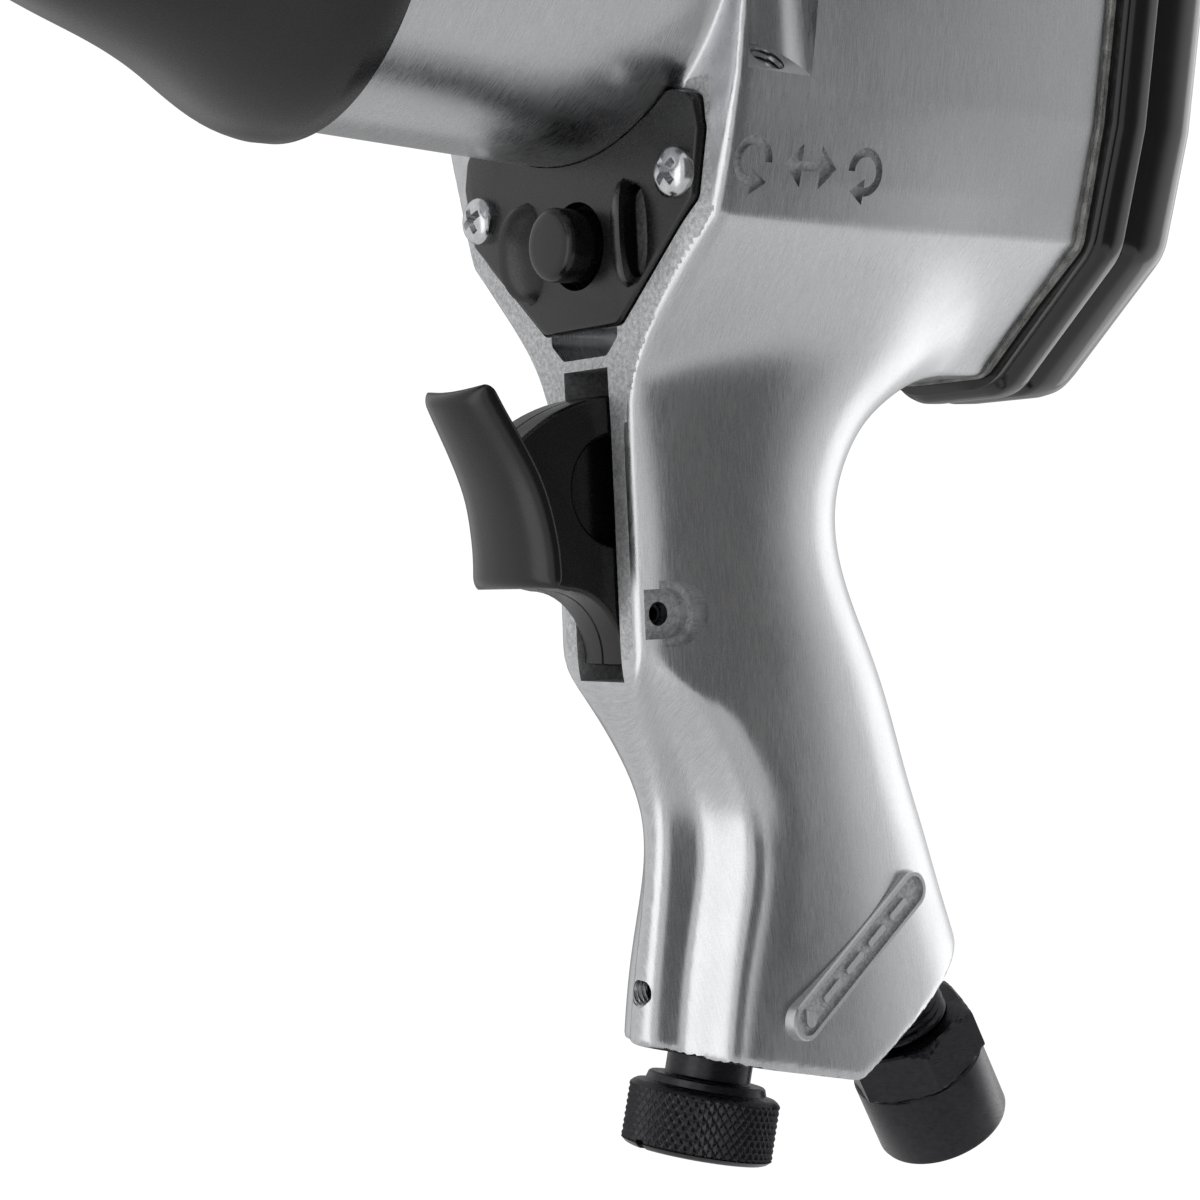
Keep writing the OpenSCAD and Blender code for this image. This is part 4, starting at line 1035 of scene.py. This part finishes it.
def make_plate():
    edge = [(0.0, 0.0), (1.9, 0.0), (2.2, 0.08), (2.42, 0.25), (2.5, 0.5)]
    rings = [(rounded(inset(PLATE_OUTLINE, cut), 2.2, 7), PLATE_BACK + depth) for depth, cut in edge]
    plate = tool("pressed_plate", lofted(rings, SIDEWAYS))
    machine(plate, [drill((PLATE_BACK - 2, 0, 0), (PLATE_FRONT + 5, 0, 0), 75.6, 160)])
    hoods = [dome(s, HOOD_INNER, HOOD_LIP, HOOD_HALF, HOOD_HIGH, PLATE_FRONT) for s in (-1, 1)]
    machine(plate, hoods, "UNION")
    cuts = [dome(s, HOOD_INNER + 1.6, HOOD_LIP - 0.4, HOOD_HALF - 1.2, HOOD_HIGH - 0.9, PLATE_FRONT, 2.2)
            for s in (-1, 1)]
    for s in (-1, 1):
        y0, y1 = sorted((s * (HOOD_LIP - 3.4), s * (HOOD_LIP + 1.2)))
        outline = rounded([(y0, -56.2), (y1, -56.2), (y1, -43), (y0, -43)], 2.0)
        cuts.append(prism(outline, PLATE_BACK - 1, PLATE_FRONT - 0.2, SIDEWAYS))
        y, z = s * PLATE_SCREW_Y, PLATE_SCREW_Z
        cuts.append(drill((PLATE_BACK - 1, y, z), (PLATE_FRONT + 1, y, z), 4.3))
    cuts.append(drill((PLATE_BACK - 1, 0, VALVE_Z), (PLATE_FRONT + 5, 0, VALVE_Z), 13.2, 64))
    machine(plate, cuts)
    return stand_for(plate, "housing", "reverse_plate", "black_coated_steel", 38)


plate = make_plate()

# %% [markdown]
# ## Plate screws and reverse button
# Each pan-head screw has a cross recess whose four arms taper to the bottom,
# as the punch that makes them does. The button is a plain turned cap with a
# softened rim.

# %% Plate screws and reverse button
def cross_recess(x, y, z, turn):
    shapes = []
    for angle in (turn, turn + 90):
        place = Matrix.Translation((x, y, z)) @ Matrix.Rotation(math.radians(angle), 4, "X") @ SIDEWAYS
        top = [(-2.3, -0.62), (2.3, -0.62), (2.3, 0.62), (-2.3, 0.62)]
        bottom = [(a * 0.3, b * 0.45) for a, b in top]
        above = [(a * 1.25, b * 1.2) for a, b in top]
        shapes.append(lofted([(bottom, -1.9), (top, 0.0), (above, 1.4)], place))
    return shapes


def make_plate_screws():
    profile = [(-11, 1.8), (-10.2, 1.9), (0, 1.9), (0, 3.7), (0.75, 3.7), (1.15, 3.62), (1.6, 3.3),
               (2.0, 2.7), (2.3, 1.8), (2.45, 0.8)]
    pair = []
    for side, turn in ((-1, 24), (1, 38)):
        y = side * PLATE_SCREW_Y
        one = tool("pan_screw", turned(profile, facing((PLATE_FRONT, y, PLATE_SCREW_Z), (1, 0, 0)), 64))
        pair.append(machine(one, cross_recess(PLATE_FRONT + 2.3, y, PLATE_SCREW_Z, turn)))
    screws = pair[0]
    with bpy.context.temp_override(active_object=screws, selected_editable_objects=pair,
                                   selected_objects=pair):
        bpy.ops.object.join()
    screws.name = "pan_head_screws"
    return stand_for(screws, "housing", "reverse_plate_screws", "zinc_steel", 40)


BUTTON_R = 5.5


def make_button():
    back = low("reverse_button")[0]
    long = BUTTON_FACE - back
    profile = [(0, 3.0), (3, 3.0), (3, 5.3), (3.3, BUTTON_R), (long - 1.3, BUTTON_R), (long - 0.9, 5.42),
               (long - 0.5, 5.18), (long - 0.22, 4.8), (long - 0.08, 4.3), (long, 3.4)]
    button = tool("push_button", turned(profile, facing((back, 0, VALVE_Z), (1, 0, 0)), 80))
    return stand_for(button, "reverse_valve", "reverse_button", "control_plastic", 50)


screws, button = make_plate_screws(), make_button()

# %% [markdown]
# ## Trigger
# Two fingers pull a saddle-shaped plate, thick in the middle with rounded
# edges. It stands on a thin web that swings in the slot. The web's top is an
# arc about the pin, so that the slot stays covered as the trigger moves, and a
# round recess lightens each side.

# %% Trigger
# Each point of the face is (distance behind the datum, depth below the axis, half width).
TRIGGER_FACE = [(20.4, 72.9, 7.9), (22.2, 76.4, 8.2), (24.3, 80.2, 8.6), (26.4, 84.2, 9.1),
                (28.0, 88.2, 9.5), (28.9, 92.4, 9.9), (29.3, 96.4, 10.2), (29.2, 100.6, 10.4)]
FACE_THICK, FACE_SWEEP = 3.5, 1.8
WEB_HALF, WEB_TOP_R = 4.9, 33.0
RECESS_DEPTH, RECESS_CENTRE = 2.6, (48.3, -86.8)


def about_pin(radius, degrees):
    a = math.radians(degrees)
    return PIN_X + radius * math.cos(a), PIN_Z + radius * math.sin(a)


def finger_plate():
    face_x = curve_through(range(8), [-p[0] for p in TRIGGER_FACE])
    face_z = curve_through(range(8), [-p[1] for p in TRIGGER_FACE])
    face_y = curve_through(range(8), [p[2] for p in TRIGGER_FACE])
    rows, around = 44, 40
    points = []
    for i in range(rows + 1):
        share = 0.5 - 0.5 * math.cos(math.pi * i / rows)
        t = 7 * share
        x, z, half = RING + float(face_x(t)), float(face_z(t)), float(face_y(t))
        before, after = max(t - 0.05, 0), min(t + 0.05, 7)
        along = Vector((float(face_x(after) - face_x(before)), 0,
                        float(face_z(after) - face_z(before)))).normalized()
        out = Vector((-along.z, 0, along.x))
        end = min(share, 1 - share) * 28.6
        swell = math.sqrt(max(1 - (1 - min(end / 1.9, 1)) ** 2, 0.0025))
        side = half - 0.9 * (1 - swell)
        for k in range(around):
            a = 2 * math.pi * k / around
            y = side * math.copysign(abs(math.cos(a)) ** 0.55, math.cos(a))
            n = FACE_THICK / 2 * swell * math.copysign(abs(math.sin(a)) ** 0.8, math.sin(a))
            sweep = FACE_SWEEP * (y / half) ** 2
            points.append(Vector((x, y, z)) + out * (n - FACE_THICK / 2 - sweep))
    return points, tube_faces(rows + 1, around)


def web_outline():
    back = SLOT_BACK + 7.5
    back_angle = math.degrees(math.acos((back - PIN_X) / WEB_TOP_R))
    arc = [about_pin(WEB_TOP_R, 52 + (back_angle - 52) * k / 24) for k in range(25)]
    tail = [about_pin(7.9, 215 + 73 * k / 12) for k in range(13)]
    angles = [math.radians(185 - 92 * k / 14) for k in range(15)]
    scoop = [(PIN_X + 13.5 + 10.6 * math.cos(a), PIN_Z - 6.5 + 10.6 * math.sin(a)) for a in angles]
    front = [(RING - 31.6, -99.8), (RING - 31.8, -93), (RING - 30.4, -86.5), (RING - 27.4, -80)]
    return arc + [(back, PIN_Z + 3)] + tail + scoop + front


def make_trigger():
    outline = web_outline()
    edge = [(0.7, -WEB_HALF), (0.35, -WEB_HALF + 0.12), (0.1, -WEB_HALF + 0.4), (0.0, -WEB_HALF + 0.8),
            (0.0, -0.25), (0.22, -0.12), (0.22, 0.12), (0.0, 0.25)]
    edge += [(cut, -level) for cut, level in reversed(edge[:4])]
    rings = [(inset(outline, cut), level) for cut, level in edge]
    trigger = tool("saddle_trigger", lofted(rings, UPRIGHT))
    cuts = [drill((PIN_X, -20, PIN_Z), (PIN_X, 20, PIN_Z), 3.7)]
    for side in (-1, 1):
        depth, z = RECESS_CENTRE
        place = facing((behind(depth), side * (WEB_HALF - RECESS_DEPTH), z), (0, side, 0))
        cuts.append(turned([(0, 7.6), (0.6, 8.2), (2.2, 8.2), (RECESS_DEPTH, 8.7), (7, 8.7)], place, 72))
    machine(trigger, cuts)
    machine(trigger, [finger_plate()], "UNION")
    return stand_for(trigger, "trigger", "trigger", "control_plastic", 35)


trigger = make_trigger()

# %% [markdown]
# ## Trigger pin
# The trigger swings on a roll pin: a strip of spring steel rolled into a tube
# with a slit down one side. It is squeezed smaller as it is driven in, so it
# grips its hole without any head or screw.

# %% Trigger pin
def make_roll_pin():
    place = facing((PIN_X, low("trigger_pin")[1], PIN_Z), (0, 1, 0))
    long = high("trigger_pin")[1] - low("trigger_pin")[1]
    pin = tool("roll_pin", turned([(0, 1.5), (0.3, 1.78), (long - 0.3, 1.78), (long, 1.5)], place, 40))
    slit = block((PIN_X, -20, PIN_Z - 0.25), (PIN_X + 4, 20, PIN_Z + 0.25))
    machine(pin, [turned([(-1, 1.05), (long + 1, 1.05)], place, 40), slit])
    return stand_for(pin, "housing", "trigger_pin", "black_oxide_steel", 40)


roll_pin = make_roll_pin()

# %% [markdown]
# ## Throttle spring
# A coil of spring wire behind the throttle's stem pushes the stem and the
# trigger forward. It is a round wire swept along a helix. Its coils close up
# as the stem comes back; here the coil is built once, at the length of the
# frame's spring.

# %% Throttle spring
WIRE_R, COILS, WIRE_SIDES, COIL_STEPS = 0.5, 7, 10, 32


def make_throttle_spring():
    back, front = low("throttle_spring"), high("throttle_spring")
    long, centre_z = front[0] - back[0], (front[2] + back[2]) / 2
    coil_r = (front[1] - back[1]) / 2 - WIRE_R
    place = facing((back[0] + WIRE_R, 0, centre_z), (1, 0, 0))
    points = []
    count = COILS * COIL_STEPS + 1
    for i in range(count):
        turn, rise = 2 * math.pi * i / COIL_STEPS, (long - 2 * WIRE_R) * i / (count - 1)
        for k in range(WIRE_SIDES):
            a = 2 * math.pi * k / WIRE_SIDES
            r = coil_r + WIRE_R * math.cos(a)
            level = rise + WIRE_R * math.sin(a)
            points.append(place @ Vector((r * math.cos(turn), r * math.sin(turn), level)))
    coil = tool("throttle_coil", (points, tube_faces(count, WIRE_SIDES)))
    spring = stand_for(coil, "housing", "throttle_spring", "spring_steel", 60)
    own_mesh(spring)
    return spring


throttle_coil = make_throttle_spring()

# %% [markdown]
# ## Regulator knob
# The rim is knurled with a pair of crossed wheels, which press a diamond
# pattern into it. Two families of slanting grooves, one each way, give the
# same diamonds: the rim is lowest where either family cuts.

# %% Regulator knob
KNOB_R, KNOB_HIGH, KNOB_DROP, KNOB_LAND = 12.0, 10.0, 3.7, 1.6
RIM_START = KNOB_DROP + KNOB_LAND
KNURL_COUNT, KNURL_SLANT, KNURL_DEEP = 52, 0.75, 0.42


def knurled(angle, along, radius):
    if radius < KNOB_R - 0.01 or not RIM_START < along < RIM_START + KNOB_HIGH:
        return radius
    pitch = 2 * math.pi * KNOB_R / KNURL_COUNT
    lean = (along - RIM_START) * KNURL_SLANT / pitch
    first = abs((angle * KNURL_COUNT / (2 * math.pi) + lean) % 1.0 - 0.5) * 2
    second = abs((angle * KNURL_COUNT / (2 * math.pi) - lean) % 1.0 - 0.5) * 2
    return radius - KNURL_DEEP * (1 - min(first, second))


def make_knob():
    start, end = RIM_START, RIM_START + KNOB_HIGH
    profile = [(-13.4, 6.2), (-13.0, 6.8), (KNOB_DROP - 0.3, 6.8), (KNOB_DROP, 7.2), (KNOB_DROP, 9.0),
               (KNOB_DROP + 0.25, 9.3), (start - 0.35, 9.6), (start - 0.2, 9.9), (start, 10.4),
               (start, 11.0), (start + 0.3, 11.5), (start + 0.75, KNOB_R - 0.05)]
    profile += [(start + 0.8 + (KNOB_HIGH - 1.7) * k / 40, KNOB_R) for k in range(41)]
    profile += [(end - 0.75, KNOB_R - 0.05), (end - 0.2, 11.3), (end, 10.8)]
    knob = tool("knurled_knob", turned(profile, KNOB_FRAME, KNURL_COUNT * 8, knurled))
    slot = prism([(-14, -0.8), (14, -0.8), (14, 0.8), (-14, 0.8)], end - 1.3, end + 2, KNOB_FRAME)
    ridge = prism(round_outline(2.8), -16, -8, KNOB_FRAME)
    machine(knob, [slot])
    machine(knob, [ridge], "UNION")
    return stand_for(knob, "regulator", "regulator_knob", "black_oxide_steel", 24)


knob = make_knob()

# %% [markdown]
# ## Air inlet
# The inlet screws into the grip. A few turns of its thread show, then a
# hexagon for the spanner, whose corners are chamfered as every turned nut's
# are, then a round collar with the thread for the hose fitting inside.

# %% Air inlet
INLET_R, HEX_FLAT, HEX_TOP, HEX_HIGH, COLLAR_LEN = 8.5, 22.0, 9.5, 8.5, 13.5
COLLAR_R, INLET_BORE_R, THREAD_PITCH = 11.5, 7.8, 1.41


def inlet_rule(angle, along, radius):
    if along <= HEX_TOP - 0.4 and radius < INLET_R + 0.1:
        phase = (along / THREAD_PITCH - angle / (2 * math.pi)) % 1.0
        return radius - 0.75 * (1 - abs(phase - 0.5) * 2) ** 1.2
    if HEX_TOP <= along <= HEX_TOP + HEX_HIGH and radius > 12:
        flat = HEX_FLAT / 2 / math.cos((angle % (math.pi / 3)) - math.pi / 6)
        top = 10.7 + (along - HEX_TOP) * 1.75
        foot = 11.3 + (HEX_TOP + HEX_HIGH - along) * 1.9
        return min(flat, top, foot)
    return radius


def make_inlet():
    hex_end = HEX_TOP + HEX_HIGH
    end = hex_end + COLLAR_LEN
    profile = [(-13 + (HEX_TOP + 12.6) * k / 110, INLET_R) for k in range(111)] + [(HEX_TOP, INLET_R - 0.6)]
    profile += [(HEX_TOP + HEX_HIGH * k / 24, 13.0) for k in range(25)]
    profile += [(hex_end, COLLAR_R - 0.35), (hex_end + 0.35, COLLAR_R), (end - 0.9, COLLAR_R),
                (end - 0.35, COLLAR_R - 0.25), (end, COLLAR_R - 0.8)]
    inlet = tool("inlet_fitting", turned(profile, INLET_FRAME, 180, inlet_rule))
    thread = [(end + 1 - (COLLAR_LEN + 4) * k / 72, INLET_BORE_R) for k in range(73)]

    def pipe_thread(angle, along, radius):
        phase = (along / THREAD_PITCH + angle / (2 * math.pi)) % 1.0
        return radius - 0.25 + 0.7 * abs(phase - 0.5)
    air_way = turned([(-14, 5.25), (end, 5.25)], INLET_FRAME, 64)
    machine(inlet, [turned(thread[::-1], INLET_FRAME, 96, pipe_thread), air_way])
    return stand_for(inlet, "housing", "inlet_bushing", "black_oxide_steel", 30)


inlet = make_inlet()

# %% [markdown]
# ## Finishes
# Every finish is built from grain: noise with a real size in millimetres,
# stretched the way the tool that made it moved. Three small functions do the
# work. One makes the grain, one turns it into a range of numbers, and one into
# a range of shades.

# %% Grain, ranges and shades
def grain(tree, size_mm, stretch=(1, 1, 1), detail=3.0):
    """Noise with grains of size_mm, longer along an axis whose stretch is above 1."""
    place = add(tree, "ShaderNodeTexCoord")
    scale = [MM / size_mm / s for s in stretch]
    spread = add(tree, "ShaderNodeMapping", values={"Scale": scale},
                 links={"Vector": place.outputs["Object"]})
    values = {"Scale": 1.0, "Detail": detail}
    return add(tree, "ShaderNodeTexNoise", values=values, links={"Vector": spread.outputs[0]}).outputs[0]


def ranged(tree, source, to_low, to_high, low=0.3, high=0.7):
    values = {"From Min": low, "From Max": high, "To Min": to_low, "To Max": to_high}
    return add(tree, "ShaderNodeMapRange", values=values, links={"Value": source}).outputs[0]


def shades(tree, source, dark, light, low=0.3, high=0.7):
    ramp = add(tree, "ShaderNodeValToRGB", links={"Fac": source})
    first, last = ramp.color_ramp.elements
    first.position, last.position = low, high
    first.color, last.color = linear(dark), linear(light)
    return ramp.outputs["Color"]


def bumped(tree, source, depth_mm, under=None):
    links = {"Height": source}
    if under:
        links["Normal"] = under
    return add(tree, "ShaderNodeBump", values={"Distance": depth_mm / MM}, links=links).outputs[0]


def worked(name, colours, rough, metal, fine, coarse, values=None):
    """A worked surface. fine and coarse are (grain mm, stretch, bump depth mm)."""
    material, tree = new_material(name)
    small = grain(tree, fine[0], fine[1])
    large = grain(tree, coarse[0], coarse[1])
    relief = bumped(tree, large, coarse[2], bumped(tree, small, fine[2]))
    half = add(tree, "ShaderNodeMath", operation="MULTIPLY", values={1: 0.5}, links={0: large}).outputs[0]
    both = add(tree, "ShaderNodeMath", operation="MULTIPLY_ADD", values={1: 0.5},
               links={0: small, 2: half}).outputs[0]
    settings = {"Metallic": metal}
    settings.update(values or {})
    links = {"Base Color": shades(tree, both, *colours), "Roughness": ranged(tree, small, *rough),
             "Normal": relief}
    finish_material(tree, settings, links)
    return material


EVEN, ROUND_X = (1, 1, 1), (1, 30, 30)

# %% [markdown]
# ## Aluminium
# The outside of the casting is linished with a fine belt that runs round the
# tool, and then buffed. That leaves lines round the barrel and down the sides.
# The sunken faces keep the dull, sandy skin of the mould.

# %% Aluminium finishes
def linished_aluminium():
    """Fine lines round the tool, a soft grain, and slow clouds where the buffing was lighter."""
    material, tree = new_material("linished_cast_aluminium")
    lines = grain(tree, 0.13, (1, 22, 22), 2.0)
    speck = grain(tree, 0.2, (1, 1, 1.5), 2.0)
    clouds = grain(tree, 9.0, (1, 1, 2), 3.0)
    relief = bumped(tree, speck, 0.0028, bumped(tree, lines, 0.0022))
    rough = add(tree, "ShaderNodeMath", operation="ADD",
                links={0: ranged(tree, lines, 0.2, 0.28), 1: ranged(tree, clouds, 0.0, 0.08)})
    mixed = add(tree, "ShaderNodeMath", operation="ADD",
                links={0: ranged(tree, lines, 0.0, 0.6), 1: ranged(tree, speck, 0.0, 0.4)})
    tint = shades(tree, mixed.outputs[0], "BABBBD", "CDCED0", 0.1, 0.9)
    links = {"Base Color": tint, "Roughness": rough.outputs[0], "Normal": relief}
    finish_material(tree, {"Metallic": 1.0}, links)
    return material


FINISHES = {"cast_aluminium": linished_aluminium()}
# Sandy skin of the mould: pale, dull and pitted.
sandy_aluminium = worked("sand_cast_aluminium", ("A2A3A5", "D6D7D8", 0.38, 0.62), (0.5, 0.68), 0.7,
                         (0.24, EVEN, 0.02), (0.7, EVEN, 0.015))

# %% [markdown]
# ## Rubber, plastic and coatings
# Moulded rubber is satin with faint scuffs. The cover is a glossy moulding with
# a fine orange peel. Powder coat is thicker and rounder in its texture.

# %% Rubber, plastic and coatings
# Satin black with long faint scuffs.
FINISHES["black_rubber"] = worked("moulded_rubber_satin", ("08080A", "121214"), (0.24, 0.34), 0.0,
                                  (0.3, EVEN, 0.003), (3.0, (6, 1, 1), 0.008))
# Deep gloss with a fine peel, so that the bands show soft-edged reflections.
FINISHES["cover_plastic"] = worked("moulded_gloss_nylon", ("070708", "111112"), (0.13, 0.22), 0.0,
                                   (0.35, EVEN, 0.003), (2.5, EVEN, 0.01),
                                   {"Coat Weight": 0.3, "Coat Roughness": 0.1})
# Satin black that the fingers have rubbed a little smoother.
FINISHES["control_plastic"] = worked("moulded_acetal_satin", ("09090A", "131314"), (0.2, 0.3), 0.0,
                                     (0.25, EVEN, 0.003), (4.0, (1, 1, 3), 0.012))
# Semi-matt black with a pebbled skin.
FINISHES["black_coated_steel"] = worked("powder_coated_steel", ("0A0A0B", "141416"), (0.24, 0.36), 0.0,
                                        (0.4, EVEN, 0.012), (2.0, EVEN, 0.02), {"Specular IOR Level": 0.6})
FINISHES["seal_rubber"] = worked("nitrile_seal_rubber", ("101010", "1C1C1C"), (0.45, 0.6), 0.0,
                                 (0.2, EVEN, 0.006), (1.5, EVEN, 0.01))
# Pressed fibre: mid grey, flecked light and dark.
FINISHES["gasket_fibre"] = worked("pressed_fibre_sheet", ("525250", "B4B4B1", 0.36, 0.64), (0.6, 0.85), 0.0,
                                  (0.22, EVEN, 0.03), (0.9, (1, 3, 3), 0.02))
FINISHES["blade_phenolic"] = worked("phenolic_laminate", ("3A2413", "6B4726"), (0.4, 0.6), 0.0,
                                    (0.15, (6, 1, 1), 0.008), (1.2, (4, 1, 1), 0.01))

# %% [markdown]
# ## Steel, brass and iron
# Turned parts carry rings round their axis, ground parts short fine lines, and
# cast iron an open grain. Black oxide is so thin that the turning marks show
# through it.

# %% Steel, brass and iron
# Near-black metal with turning marks and a soft sheen.
FINISHES["black_oxide_steel"] = worked("black_oxide_turned_steel", ("2C2C2E", "424245", 0.2, 0.8),
                                       (0.24, 0.38), 1.0, (0.14, (12, 12, 1), 0.003),
                                       (1.0, EVEN, 0.003))
# Bright, slightly milky plating.
FINISHES["zinc_steel"] = worked("zinc_plated_steel", ("B7B8BA", "DCDDDF"), (0.14, 0.26), 1.0,
                                (0.2, EVEN, 0.003), (1.5, EVEN, 0.006))
FINISHES["hardened_steel"] = worked("turned_hardened_steel", ("6B6C70", "8E9094"), (0.25, 0.4), 1.0,
                                    (0.15, ROUND_X, 0.003), (2.0, EVEN, 0.006))
FINISHES["drive_steel"] = worked("black_phosphate_forging", ("2C2C2E", "4A4A4D"), (0.38, 0.58), 0.9,
                                 (0.25, EVEN, 0.01), (2.4, EVEN, 0.02))
FINISHES["spring_steel"] = worked("drawn_spring_wire", ("66676A", "8D8E92"), (0.22, 0.36), 1.0,
                                  (0.1, (1, 1, 12), 0.002), (1.0, EVEN, 0.004))
FINISHES["ground_steel"] = worked("ground_bearing_steel", ("B0B1B4", "CFD0D2"), (0.1, 0.2), 1.0,
                                  (0.08, (1, 20, 20), 0.001), (1.5, EVEN, 0.002))
FINISHES["cast_iron"] = worked("machined_cast_iron", ("5C5D5F", "7F8082"), (0.4, 0.58), 1.0,
                               (0.2, EVEN, 0.01), (1.4, EVEN, 0.012))
FINISHES["bronze"] = worked("sintered_bronze", ("8A6636", "B68B50"), (0.35, 0.55), 1.0,
                            (0.18, EVEN, 0.02), (1.2, EVEN, 0.01))
FINISHES["valve_brass"] = worked("turned_brass", ("B9923F", "D8B466"), (0.18, 0.3), 1.0,
                                 (0.12, ROUND_X, 0.002), (1.8, EVEN, 0.004))
FINISHES["mesh_steel"] = worked("woven_steel_gauze", ("77787B", "C2C3C5", 0.4, 0.6), (0.25, 0.45), 1.0,
                                (0.35, EVEN, 0.08), (0.7, (1, 4, 1), 0.05))

# %% [markdown]
# ## Giving each piece its finish
# The record names a slot for every node. The inner pieces are shown as they
# were packed, and the new pieces say which slot they take. The housing has two
# finishes: the first for its linished skin, the second for the sunken faces.

# %% Give each piece its finish
def give_finishes():
    for row in frame["record"]["subparts"]:
        node = frame["nodes"][row["node"]]
        node.data.materials.clear()
        node.data.materials.append(FINISHES[row["material_slot"]])
    for piece in (boot, cover, plate, screws, button, trigger, roll_pin, throttle_coil, knob, inlet):
        piece.data.materials.clear()
        piece.data.materials.append(FINISHES[piece["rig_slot"]])
    while len(casting.data.materials) < 2:
        casting.data.materials.append(None)
    casting.data.materials[0] = FINISHES["cast_aluminium"]
    casting.data.materials[1] = sandy_aluminium
    print("finishes:", len(FINISHES) + 1)


give_finishes()
